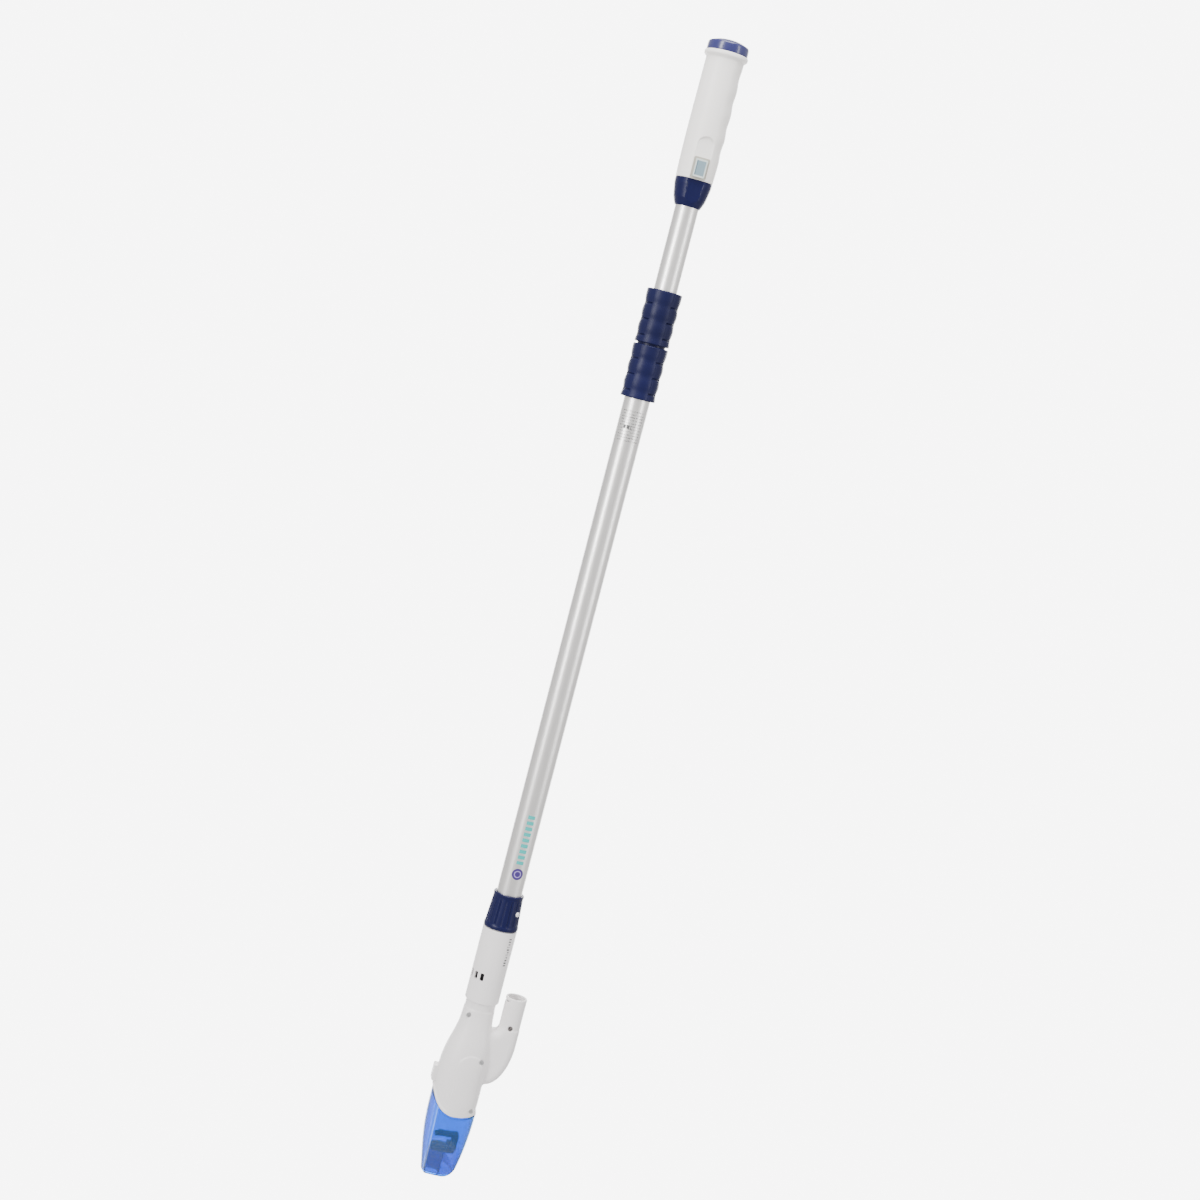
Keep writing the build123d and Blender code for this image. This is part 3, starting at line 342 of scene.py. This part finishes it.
def printed_tube():
    """The lower tube: a grey data label, a teal row of bars and a round badge, all of them plain marks."""
    material = metal("printed_tube", ALUMINIUM, 0.36)
    tree = material.node_tree
    shader = tree.nodes["Principled BSDF"]
    u, z = round_the_pole(tree, TUBE_R)
    teal = all_of(tree, within(tree, u, *BARS_U), within(tree, z, *BARS_Z), stripes(tree, z, 0.0064, 0.55))
    across = maths(tree, "POWER", maths(tree, "SUBTRACT", u, BADGE_U), 2.0)
    along = maths(tree, "POWER", maths(tree, "SUBTRACT", z, BADGE_Z), 2.0)
    spot = maths(tree, "SQRT", maths(tree, "ADD", across, along))
    badge = within(tree, spot, 0.0, BADGE_R)
    ring = within(tree, spot, *BADGE_RING)
    worn = within(tree, noise(tree, 900.0, 2.0, (1, 1, 2.2)), 0.75, 0.22, 0.03)
    label = all_of(tree, within(tree, u, *LABEL_U), within(tree, z, *LABEL_Z), stripes(tree, z, 0.0031, 0.42), worn)
    mark = all_of(tree, within(tree, u, *LABEL_BAR_U), within(tree, z, *LABEL_BAR_Z), stripes(tree, u, 0.0042, 0.7))
    recolour(tree, shader, (
        (label, (0.26, 0.25, 0.25)),
        (mark, (0.08, 0.08, 0.08)),
        (teal, (0.03, 0.42, 0.40)),
        (badge, (0.045, 0.02, 0.16)),
        (ring, (0.34, 0.27, 0.60)),
    ))
    ink = maths(tree, "MAXIMUM", maths(tree, "MAXIMUM", teal, badge), mark)
    tree.links.new(maths(tree, "SUBTRACT", 1.0, ink), shader.inputs["Metallic"])
    return material


def printed_neck():
    """White plastic with a short column of plain dark marks."""
    material = plastic("printed_neck", WHITE, 0.36, 0.02)
    tree = material.node_tree
    u, z = round_the_pole(tree, NECK_R)
    worn = within(tree, noise(tree, 700.0, 2.0), 0.8, 0.36, 0.03)
    column = all_of(tree, within(tree, u, *NECK_MARK_U), within(tree, z, *NECK_MARK_Z))
    marks = all_of(tree, column, stripes(tree, z, 0.0030, 0.5), worn)
    recolour(tree, tree.nodes["Principled BSDF"], ((marks, (0.07, 0.07, 0.075)),))
    return material


FOLD_APEX, FOLD_SLOPE = 0.455, -0.0365  # the line of the nozzle's front edges, seen from the side


def nozzle_plastic():
    """Clear blue plastic, darker towards the bottom, with painted light that makes the front facet paler and a
    painted highlight along the edge beside it.
    """
    material = clear("nozzle_plastic", NOZZLE_BLUE, 0.09, 1.0, 0.84)
    tree = material.node_tree
    split = add(tree, "ShaderNodeSeparateXYZ")
    tree.links.new(place_of(tree), split.inputs[0])
    x, y, z = split.outputs
    fold = maths(tree, "MULTIPLY", maths(tree, "ADD", z, FOLD_APEX), FOLD_SLOPE)
    ahead = maths(tree, "SUBTRACT", fold, x)
    # Painted light: the front facet is painted a paler blue, standing in for the light it catches.
    facet = within(tree, ahead, 0.0205, 0.02, 0.0006)
    low = within(tree, z, 0.010, 0.012, 0.02)
    # Painted highlight: a thin whitish streak along the front arris, standing in for the light that the edge
    # catches.
    edge = all_of(tree, within(tree, ahead, 0.0002, 0.0004, 0.0005), within(tree, z, 0.050, 0.047, 0.006))
    recolour(tree, tree.nodes["Principled BSDF"],
             ((low, (0.012, 0.13, 0.58)), (facet, (0.12, 0.24, 0.70)), (edge, (0.62, 0.72, 0.92))))
    return material


def switch_cover():
    """The silicone cover: a beige rim, a paler border and a clear grey-blue window over the rocker."""
    material = plastic("switch_cover", (0.40, 0.38, 0.33), 0.4, 0.05)
    tree = material.node_tree
    split = add(tree, "ShaderNodeSeparateXYZ")
    tree.links.new(place_of(tree), split.inputs[0])
    x, y, z = split.outputs
    half, tall = COVER_BORDER
    border = all_of(tree, within(tree, x, 0.0, half), within(tree, z, COVER_Z, tall))
    half, tall = COVER_WINDOW
    window = all_of(tree, within(tree, x, 0.0, half, 0.0004), within(tree, z, COVER_Z, tall, 0.0004))
    # A darker vertical line painted at the left of the window.
    dark_line = all_of(tree, window, within(tree, x, -0.0043, 0.0004, 0.0003))
    recolour(tree, tree.nodes["Principled BSDF"],
             ((border, (0.56, 0.62, 0.60)), (window, (0.19, 0.27, 0.32)), (dark_line, (0.10, 0.15, 0.19))))
    return material


MATERIALS = {}
OWN_FINISH = {  # nodes whose finish isn't simply their slot's
    "lower_tube": "printed_tube",
    "neck_sleeve": "printed_neck",
    "switch_boot": "switch_cover",
    "collet": "navy_plastic",
    "nozzle": "nozzle_plastic",
}


def make_materials():
    MATERIALS.update(
        white_plastic=plastic("white_plastic", WHITE, 0.36, 0.02),
        handle_plastic=plastic("handle_plastic", (0.90, 0.87, 0.84), 0.42, 0.02),
        navy_plastic=plastic("navy_plastic", (0.0022, 0.0032, 0.038), 0.36, 0.15, 0.00005, 1100.0, 0.22),
        grip_plastic=plastic("grip_plastic", (0.0022, 0.0032, 0.036), 0.42, 0.15, 0.00008, 900.0, 0.22),
        cap_plastic=plastic("cap_plastic", (0.014, 0.015, 0.10), 0.3, 0.1, 0.00004, 1500.0, 0.5, 0.5),
        clear_blue=clear("clear_blue", NOZZLE_BLUE, 0.09, 1.0, 0.84),
        dark_valve=plastic("dark_valve", (0.003, 0.004, 0.03), 0.5, 0.1, 0.00004, 1500.0, 0.2),
        clear_silicone=clear("clear_silicone", (0.70, 0.73, 0.72), 0.32, 0.45),
        seal_rubber=plastic("seal_rubber", (0.015, 0.015, 0.015), 0.7, 0.15),
        anodised=metal("anodised", (0.86, 0.84, 0.82), 0.36),
        black_plastic=plastic("black_plastic", (0.02, 0.02, 0.022), 0.5, 0.15),
        rocker_plastic=plastic("rocker_plastic", (0.16, 0.24, 0.28), 0.4, 0.06),
        spring_steel=metal("spring_steel", (0.62, 0.62, 0.62), 0.3, EVEN),
        contact_brass=metal("contact_brass", (0.78, 0.6, 0.25), 0.32, EVEN),
        motor_steel=metal("motor_steel", (0.55, 0.55, 0.56), 0.3, EVEN),
        cell_sleeve=plastic("cell_sleeve", (0.04, 0.05, 0.07), 0.25, 0.1, 0.0),
        printed_tube=printed_tube(),
        printed_neck=printed_neck(),
        switch_cover=switch_cover(),
        nozzle_plastic=nozzle_plastic(),
        natural_plastic=plastic("natural_plastic", (0.66, 0.65, 0.6), 0.5, 0.04),
    )
    slots = {row["node"]: row["material_slot"] for row in frame["record"]["subparts"]}
    for name, node in NODES.items():
        node.data.materials.clear()
        node.data.materials.append(MATERIALS[OWN_FINISH.get(name, slots[name])])


# ---------------------------------------------------------------- mesh helpers
COLUMNS = 240
ANGLES = np.linspace(0, 2 * np.pi, COLUMNS, endpoint=False)
FRONT = math.radians(-90)  # the way the switch faces
VIEWER = FRONT + CAMERA_SIDE


def off_angle(towards):
    """How far each column is from a direction, from -pi to pi."""
    return (ANGLES - towards + np.pi) % (2 * np.pi) - np.pi


def step(value, low, high):
    """0 below low, 1 above high, and smooth between."""
    t = np.clip((value - low) / (high - low), 0, 1)
    return t * t * (3 - 2 * t)


def own_mesh(name, points, faces, sharp=40):
    """An object from points in millimetres, shaded smooth except at sharp edges."""
    mesh = bpy.data.meshes.new(name)
    mesh.from_pydata((np.asarray(points) * MM).tolist(), [], faces)
    piece = bpy.data.objects.new(name, mesh)
    bpy.context.scene.collection.objects.link(piece)
    finish_mesh(piece, sharp)
    return piece


def finish_mesh(piece, sharp=40):
    """Faces outwards, shaded smooth except at edges sharper than that many degrees."""
    mesh = piece.data
    shape = bmesh.new()
    shape.from_mesh(mesh)
    bmesh.ops.recalc_face_normals(shape, faces=shape.faces)
    shape.to_mesh(mesh)
    shape.free()
    mesh.shade_smooth()
    mesh.set_sharp_from_angle(angle=math.radians(sharp))


def ringed(name, rows, sharp=40):
    """A closed skin through rings of (z, radius), each radius one number or one for each column.

    The rings run up the outside and down the inside, and the last joins the first."""
    points = []
    for z, radius in rows:
        r = np.broadcast_to(np.asarray(radius, float), (COLUMNS,))
        level = np.full(COLUMNS, float(z))
        points.append(np.column_stack((r * np.cos(ANGLES), r * np.sin(ANGLES), level)))
    count = len(rows)
    faces = []
    for i in range(count):
        j = (i + 1) % count
        for k in range(COLUMNS):
            m = (k + 1) % COLUMNS
            faces.append((i * COLUMNS + k, i * COLUMNS + m, j * COLUMNS + m, j * COLUMNS + k))
    return own_mesh(name, np.vstack(points), faces, sharp)


def cut(piece, cutter):
    """Takes one closed mesh out of another."""
    modifier = piece.modifiers.new("cut", "BOOLEAN")
    modifier.operation = "DIFFERENCE"
    modifier.solver = "EXACT"
    modifier.object = cutter
    bake(piece)
    bpy.data.objects.remove(cutter)


def bake(piece):
    """Turns the piece's modifiers into its mesh."""
    graph = bpy.context.evaluated_depsgraph_get()
    graph.update()
    mesh = bpy.data.meshes.new_from_object(piece.evaluated_get(graph))
    piece.modifiers.clear()
    piece.data = mesh


def box_cutter(low, high):
    """A box between two corners in millimetres, only ever used to cut with."""
    corners = [[(low, high)[i >> axis & 1][axis] for axis in range(3)] for i in range(8)]
    faces = [(0, 2, 3, 1), (4, 5, 7, 6), (0, 1, 5, 4), (2, 6, 7, 3), (0, 4, 6, 2), (1, 3, 7, 5)]
    return own_mesh("cutter", corners, faces)


def rod_cutter(start, end, radius, sides=48):
    """A round bar between two points in millimetres, only ever used to cut with."""
    a, b = Vector(start), Vector(end)
    turn = (b - a).to_track_quat("Z", "Y")
    points = []
    for middle in (a, b):
        for i in range(sides):
            t = 2 * math.pi * i / sides
            points.append(middle + turn @ Vector((radius * math.cos(t), radius * math.sin(t), 0)))
    faces = [tuple(range(sides)), tuple(range(sides, 2 * sides))]
    faces += [(i, (i + 1) % sides, sides + (i + 1) % sides, sides + i) for i in range(sides)]
    return own_mesh("cutter", [tuple(p) for p in points], faces)


def stand_for(piece, node, body, slot, material=None):
    """The piece is shown instead of a CAD node and moves with its body."""
    piece.data.materials.clear()
    piece.data.materials.append(MATERIALS[material or slot])
    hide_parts(node)
    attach(piece, body)


# ---------------------------------------------------------------- twist lock grips
GRIP_R = 18.7
GRIP_LENGTH = 56.4
GRIP_FOOT = 870.9
NUT_FOOT = 929.3
VALLEYS = (0.27, 0.565, 0.86)  # how far down each grip the creases are
COLUMN_TURNS = (-60, 60, 180)  # the creased columns, from the viewer
COLUMN_REACH = (math.radians(25), math.radians(28))
GRIP_BEVEL = 1.3
GRIP_EDGE = GRIP_BEVEL * np.array((0, 0.1, 0.35, 0.7))  # where the rows of each bevel are
GRIP_ROWS = 230
LIP_REACH, RAMP_REACH = 0.008, 0.045  # of a crease, as shares of the grip's length
LOBE_REACH, LOBE_DEPTH = 0.08, 1.0
PAD_DEPTH, PAD_SWELL, CREASE_DEPTH = 0.35, 0.55, 1.2
SLEEVE_SEAT_R, SLEEVE_BORE_R, SLEEVE_STEP_Z = 15.02, 14.02, 918.0
NUT_BORE_R, NUT_THROAT_R, NUT_WELL_R = 12.56, 13.56, 15.06
NUT_STEP_Z, NUT_CONE_Z = 965.0, 950.0


def crease_depth(below):
    """A crease's share of its full depth: an undercut lip above, and a ramp that faces up below."""
    if below < 0:
        return math.exp(-abs(below / LIP_REACH) ** 3)
    return max(0.0, 1 - below / RAMP_REACH)


def grip_rows(foot, top):
    """The outside of a grip: soft lobes, with three recessed columns of narrow creases."""
    column = np.zeros(COLUMNS)
    for turn in COLUMN_TURNS:
        reach = np.abs(off_angle(VIEWER + math.radians(turn)))
        column = np.maximum(column, 1 - step(reach, *COLUMN_REACH))
    rows = []
    between = np.linspace(foot + GRIP_BEVEL, top - GRIP_BEVEL, GRIP_ROWS)
    for z in np.concatenate((foot + GRIP_EDGE, between, top - GRIP_EDGE[::-1])):
        down = (top - z) / (top - foot)
        lobe = sum(math.exp(-(((down - v) / LOBE_REACH) ** 2)) for v in VALLEYS)
        crease = sum(crease_depth(down - v) for v in VALLEYS)
        pad = PAD_DEPTH + PAD_SWELL * lobe
        radius = GRIP_R - LOBE_DEPTH * lobe * (1 - column) - column * (pad + CREASE_DEPTH * crease)
        edge = min(z - foot, top - z)
        if edge < GRIP_BEVEL:
            radius = radius - GRIP_BEVEL + math.sqrt(max(0.0, GRIP_BEVEL**2 - (GRIP_BEVEL - edge) ** 2))
        rows.append((z, radius))
    return rows


def make_grips():
    """The fixed lower grip, and the nut above it that tightens the lock."""
    top = GRIP_FOOT + GRIP_LENGTH
    rows = grip_rows(GRIP_FOOT, top)
    rows += [(top, SLEEVE_SEAT_R), (SLEEVE_STEP_Z, SLEEVE_SEAT_R), (SLEEVE_STEP_Z, SLEEVE_BORE_R)]
    rows += [(GRIP_FOOT, SLEEVE_BORE_R)]
    stand_for(ringed("grip_sleeve_skin", rows), "grip_sleeve", "stick", "navy_plastic", "grip_plastic")
    top = NUT_FOOT + GRIP_LENGTH
    rows = grip_rows(NUT_FOOT, top)
    rows += [(top, NUT_BORE_R), (NUT_STEP_Z, NUT_BORE_R), (NUT_STEP_Z, NUT_THROAT_R)]
    rows += [(NUT_CONE_Z, NUT_WELL_R), (NUT_FOOT, NUT_WELL_R)]
    stand_for(ringed("lock_nut_skin", rows), "lock_nut", "lock_nut", "navy_plastic", "grip_plastic")


# ---------------------------------------------------------------- handle
HANDLE_FOOT = 1102.7
HANDLE_TOP = 1234.2
SWITCH_Z = 1114.2
FLAT_Y = 18.0
ARCH_R = 9.3
ARCH_Z = SWITCH_Z + 33 - ARCH_R
FLAT_EDGE = 1.3  # how wide the flat's edge blends
FACE_REACH = 1.2  # radians from the front beyond which nothing is flattened
WELL_START, WELL_PITCH, WELL_COUNT, WELL_DEPTH = 34, 25.0, 4, 0.9
HANDLE_SHAPE = (
    (1102.7, 1110, 1118, 1134, 1150, 1172, 1195, 1212, 1227.8),
    (19.6, 19.95, 20.2, 20.42, 20.5, 20.42, 20.2, 20.05, 19.9),
)
HANDLE_LAST_Z = 1227.4
RIM_SHAPE = (
    (1227.8, 20.1), (1228.6, 20.9), (1229.7, 22.2), (1230.2, 22.65), (1230.8, 22.88), (1231.5, 22.9),
    (1233.1, 22.9), (1233.7, 22.72), (1234.1, 22.3), (HANDLE_TOP, 21.9),
)
BAY_SHAPE = (
    (HANDLE_TOP, 19.92), (1229.4, 19.92), (1229.4, 17.6), (1126.0, 17.6), (1126.0, 1.5),
    (1124.6, 1.5), (1124.6, 17.0), (HANDLE_FOOT, 17.0),
)
SWITCH_WINDOW = (6.5, 9.5)  # half width and half height
COLLAR_SHAPE = (
    (1074.7, 1075.2, 1075.8, 1083, 1088, 1097, 1101.6, 1102.1, 1102.5),
    (13.2, 13.75, 14.0, 16.9, 17.85, 19.4, 19.6, 19.5, 19.1),
)
COLLAR_FLAT = ((1079, 1102), (15.2, 16.86))
COLLAR_FLAT_HALF, COLLAR_FLAT_TAPER = 9.4, 0.12
COLLAR_BORE_R = 12.56
CAP_SKIRT = ((1234.5, 21.3), (1234.7, 21.65), (1235.1, 21.8), (1238, 21.78), (1240.5, 21.7), (1241.8, 21.55))
CAP_HOLLOW = ((1242.4, 0.02), (1242.4, 17.9), (1230.5, 17.9), (1230.5, 19.9), (1234.5, 19.9))
CAP_SHOULDER_Z, CAP_SHOULDER_R = 1242.0, 18.8
CAP_SHOULDER_RISE, CAP_SHOULDER_REACH = 2.6, 2.7
CAP_DOME_RISE = 3.9
TINY_R = 0.02  # closes a skin on its axis


def handle_radius(z):
    """The handle's outside, with finger wells on the outlet side and the thumb flat."""
    base = np.interp(z, *HANDLE_SHAPE)
    phase = (z - HANDLE_FOOT - WELL_START) / WELL_PITCH
    if -0.5 < phase < WELL_COUNT - 0.5:
        dip = WELL_DEPTH * (0.5 + 0.5 * math.cos(2 * math.pi * phase))
        base = base - dip * step(np.cos(ANGLES), 0.25, 0.95)
    else:
        base = np.full(COLUMNS, base)
    turn = off_angle(FRONT)
    across = np.abs(base * np.sin(turn))
    inside = ARCH_R - np.hypot(across, max(0.0, z - ARCH_Z))
    inside = np.where(np.abs(turn) < FACE_REACH, inside, -1)
    flat = np.minimum(base, FLAT_Y / np.maximum(np.cos(turn), 0.3))
    return base + (flat - base) * step(inside, 0.0, FLAT_EDGE)


def make_handle():
    """The handle's shell: its outside with the rim at the top, and the battery bay inside."""
    heights = np.concatenate((
        np.linspace(HANDLE_FOOT + 0.5, ARCH_Z, 44),
        np.linspace(ARCH_Z + 0.3, ARCH_Z + 12, 44),
        np.linspace(ARCH_Z + 13.5, HANDLE_LAST_Z, 56),
    ))
    foot_r = handle_radius(HANDLE_FOOT)
    rows = [(HANDLE_FOOT, foot_r - 0.5), (HANDLE_FOOT + 0.15, foot_r - 0.15)]
    rows += [(z, handle_radius(z)) for z in heights]
    rows += [*RIM_SHAPE, *BAY_SHAPE]
    handle = ringed("handle_grip_skin", rows, 32)
    half, tall = SWITCH_WINDOW
    cut(handle, box_cutter((-half, -30, SWITCH_Z - tall), (half, -10, SWITCH_Z + tall)))
    finish_mesh(handle, 32)
    stand_for(handle, "handle_grip", "pole", "handle_plastic")


def make_handle_collar():
    """The tapered collar, with its flat facet below the switch."""
    rows = []
    turn = off_angle(FRONT)
    flat_top = COLLAR_FLAT[0][1]
    for z in np.concatenate(((1074.7, 1074.85, 1075.2, 1075.8), np.linspace(1076.6, 1101.6, 70), (1102.1, 1102.5))):
        radius = np.interp(z, *COLLAR_SHAPE)
        flat = np.interp(z, *COLLAR_FLAT) / np.maximum(np.cos(turn), 0.3)
        wide = COLLAR_FLAT_HALF - np.abs(radius * np.sin(turn)) + COLLAR_FLAT_TAPER * (z - flat_top)
        wide = np.where(np.abs(turn) < FACE_REACH, wide, -1)
        faced = np.minimum(radius, flat)
        rows.append((z, radius + (faced - radius) * step(wide, 0.0, 0.6)))
    rows += [(COLLAR_SHAPE[0][-1], COLLAR_BORE_R), (COLLAR_SHAPE[0][0], COLLAR_BORE_R)]
    stand_for(ringed("handle_collar_skin", rows, 30), "handle_collar", "pole", "navy_plastic")


def make_cap():
    """The battery cap: a short skirt and a low dome with a soft shoulder."""
    rows = list(CAP_SKIRT)
    for t in np.linspace(0, math.pi / 2, 14):
        reach = CAP_SHOULDER_REACH * math.cos(t)
        rows.append((CAP_SHOULDER_Z + CAP_SHOULDER_RISE * math.sin(t), CAP_SHOULDER_R + reach))
    for f in np.linspace(0.05, 1, 22):
        rise = CAP_DOME_RISE * (1 - (1 - f) ** 2) ** 0.8
        rows.append((CAP_SHOULDER_Z + CAP_SHOULDER_RISE + rise, CAP_SHOULDER_R * (1 - f) + TINY_R))
    rows += CAP_HOLLOW
    stand_for(ringed("battery_cap_skin", rows, 38), "battery_cap", "cap", "cap_plastic")


# ---------------------------------------------------------------- head collar and neck
BUTTON_TURN = math.radians(-42.5)
BUTTON_Z = 305.0
BUTTON_TIP_R = 2.6
BUTTON_BASE_Z, BUTTON_BASE_R = 1.8, 3.85
BUTTON_STEP, BUTTON_TOP, BUTTON_ROUND = 12.9, 17.4, 1.3  # along the button, from the pole's axis
BUTTON_GAP = 0.25
RIBS = 16
RIB_DEPTH = 0.75
HEAD_COLLAR_FOOT, HEAD_COLLAR_TOP = 285.1, 323.8
HEAD_COLLAR_BORE_R, HEAD_COLLAR_SEAT_R, HEAD_COLLAR_SEAT = 14.05, 15.4, 2.6
BUTTON_AIM = Vector((math.cos(BUTTON_TURN), math.sin(BUTTON_TURN), 0))


def make_head_collar():
    """The ribbed collar over the pole's socket, flared at the top and lipped at the foot."""
    foot, top = HEAD_COLLAR_FOOT, HEAD_COLLAR_TOP
    seat = foot + HEAD_COLLAR_SEAT
    rows = []
    levels = (foot, foot + 0.6, foot + 1.4, foot + 3.4, foot + 4.4, top - 4, top - 1.5, top - 0.7, top)
    radii = (18.6, 18.95, 19.0, 18.95, 18.45, 16.35, 16.75, 16.7, 16.1)
    rib = np.abs(np.sin(RIBS / 2 * (ANGLES - VIEWER)))
    groove = RIB_DEPTH * (1 - step(rib, 0.05, 0.6))
    lip = foot + np.array((0, 0.2, 0.6, 1.0))
    flare = top - np.array((0.7, 0.3, 0.05))
    for z in np.concatenate((lip, np.linspace(foot + 1.5, top - 1.2, 70), flare)):
        radius = np.interp(z, levels, radii)
        along = float(step(z, foot + 4.2, foot + 6.5) * (1 - step(z, top - 7.0, top - 4.6)))
        keep_off = step(np.hypot(off_angle(BUTTON_TURN) * 17.5, z - BUTTON_Z), 4.2, 5.4)
        rows.append((z, radius - along * groove * keep_off))
    rows += [(top, HEAD_COLLAR_BORE_R), (seat, HEAD_COLLAR_BORE_R), (seat, HEAD_COLLAR_SEAT_R)]
    rows += [(foot, HEAD_COLLAR_SEAT_R)]
    collar = ringed("head_collar_skin", rows, 34)
    base = Vector((0, 0, BUTTON_Z))
    cut(collar, rod_cutter(base + BUTTON_AIM * 10, base + BUTTON_AIM * 30, BUTTON_TIP_R + BUTTON_GAP))
    finish_mesh(collar, 34)
    stand_for(collar, "head_collar", "stick", "navy_plastic")


def make_snap_button():
    """The sprung button: a wide foot inside the tube and a narrow rounded tip."""
    rows = [(BUTTON_BASE_Z, TINY_R), (BUTTON_BASE_Z, BUTTON_BASE_R), (BUTTON_STEP - 0.3, BUTTON_BASE_R)]
    rows += [(BUTTON_STEP, 3.6), (BUTTON_STEP, BUTTON_TIP_R), (BUTTON_TOP, BUTTON_TIP_R)]
    for t in np.linspace(0.2, 1.57, 8):
        inset = BUTTON_ROUND * (math.cos(t) - 1)
        rows.append((BUTTON_TOP + BUTTON_ROUND * math.sin(t), BUTTON_TIP_R + inset))
    rows += [(18.75, TINY_R)]
    button = ringed("snap_button_skin", rows, 34)
    turn = BUTTON_AIM.to_track_quat("Z", "Y").to_matrix().to_4x4()
    button.data.transform(Matrix.Translation((0, 0, BUTTON_Z * MM)) @ turn)
    stand_for(button, "snap_button", "snap_button", "white_plastic")


# ---------------------------------------------------------------- pump body
BODY_VOXEL = 0.00062
SEAM_HALF = 0.00006
SOFTEN_PASSES, DUCT_PASSES = 5, 60


def joined_copy(name, sources):
    """One object holding copies of several CAD nodes, where they are."""
    shape = bmesh.new()
    for source in sources:
        mesh = NODES[source].data.copy()
        mesh.transform(NODES[source].matrix_world)
        shape.from_mesh(mesh)
        bpy.data.meshes.remove(mesh)
    mesh = bpy.data.meshes.new(name)
    shape.to_mesh(mesh)
    shape.free()
    piece = bpy.data.objects.new(name, mesh)
    bpy.context.scene.collection.objects.link(piece)
    return piece


def soften(piece, name, weights, passes):
    """Evens out the mesh where the weights are high."""
    group = piece.vertex_groups.new(name=name)
    for level in range(1, 11):
        chosen = np.nonzero(np.round(weights * 10).astype(int) == level)[0]
        if len(chosen):
            group.add(chosen.tolist(), level / 10, "REPLACE")
    modifier = piece.modifiers.new(name, "SMOOTH")
    modifier.factor = 0.5
    modifier.iterations = passes
    modifier.vertex_group = name
    bake(piece)
    piece.vertex_groups.clear()


def corners_of(piece):
    """The piece's points in millimetres."""
    flat = np.empty(3 * len(piece.data.vertices))
    piece.data.vertices.foreach_get("co", flat)
    return flat.reshape(-1, 3) / MM


def half_of(whole, name, side):
    """The part of a mesh on one side of Y = 0, with its cut closed."""
    piece = bpy.data.objects.new(name, whole.data.copy())
    bpy.context.scene.collection.objects.link(piece)
    shape = bmesh.new()
    shape.from_mesh(piece.data)
    parted = bmesh.ops.bisect_plane(
        shape, geom=shape.verts[:] + shape.edges[:] + shape.faces[:],
        plane_co=(0, side * SEAM_HALF, 0), plane_no=(0, -side, 0), clear_outer=True,
    )
    rim = [e for e in parted["geom_cut"] if isinstance(e, bmesh.types.BMEdge)]
    bmesh.ops.triangle_fill(shape, use_beauty=True, use_dissolve=False, edges=rim)
    shape.to_mesh(piece.data)
    shape.free()
    finish_mesh(piece, 50)
    return piece


def make_body():
    """Both halves of the pump body, with the duct flowing into the bulb as one moulding."""
    whole = joined_copy("body_skin", ("body_half_near", "body_half_far"))
    remesh = whole.modifiers.new("remesh", "REMESH")
    remesh.mode = "VOXEL"
    remesh.voxel_size = BODY_VOXEL
    remesh.adaptivity = 0.0
    bake(whole)
    x, y, z = corners_of(whole).T
    soften(whole, "even", np.ones(len(x)), SOFTEN_PASSES)
    outside = step(np.hypot(y / 25, (x - 4) / 25), 0.62, 0.75)
    duct = step(x, 11, 17) * (1 - step(x, 32, 40)) * step(z, 98, 108) * (1 - step(z, 184, 192)) * outside
    soften(whole, "duct", duct, DUCT_PASSES)
    for side, name in ((-1, "body_half_near"), (1, "body_half_far")):
        stand_for(half_of(whole, name + "_skin", side), name, "stick", "white_plastic")
    bpy.data.objects.remove(whole)


make_camera()
make_materials()
make_grips()
make_handle()
make_handle_collar()
make_cap()
make_head_collar()
make_snap_button()
make_body()
make_studio()
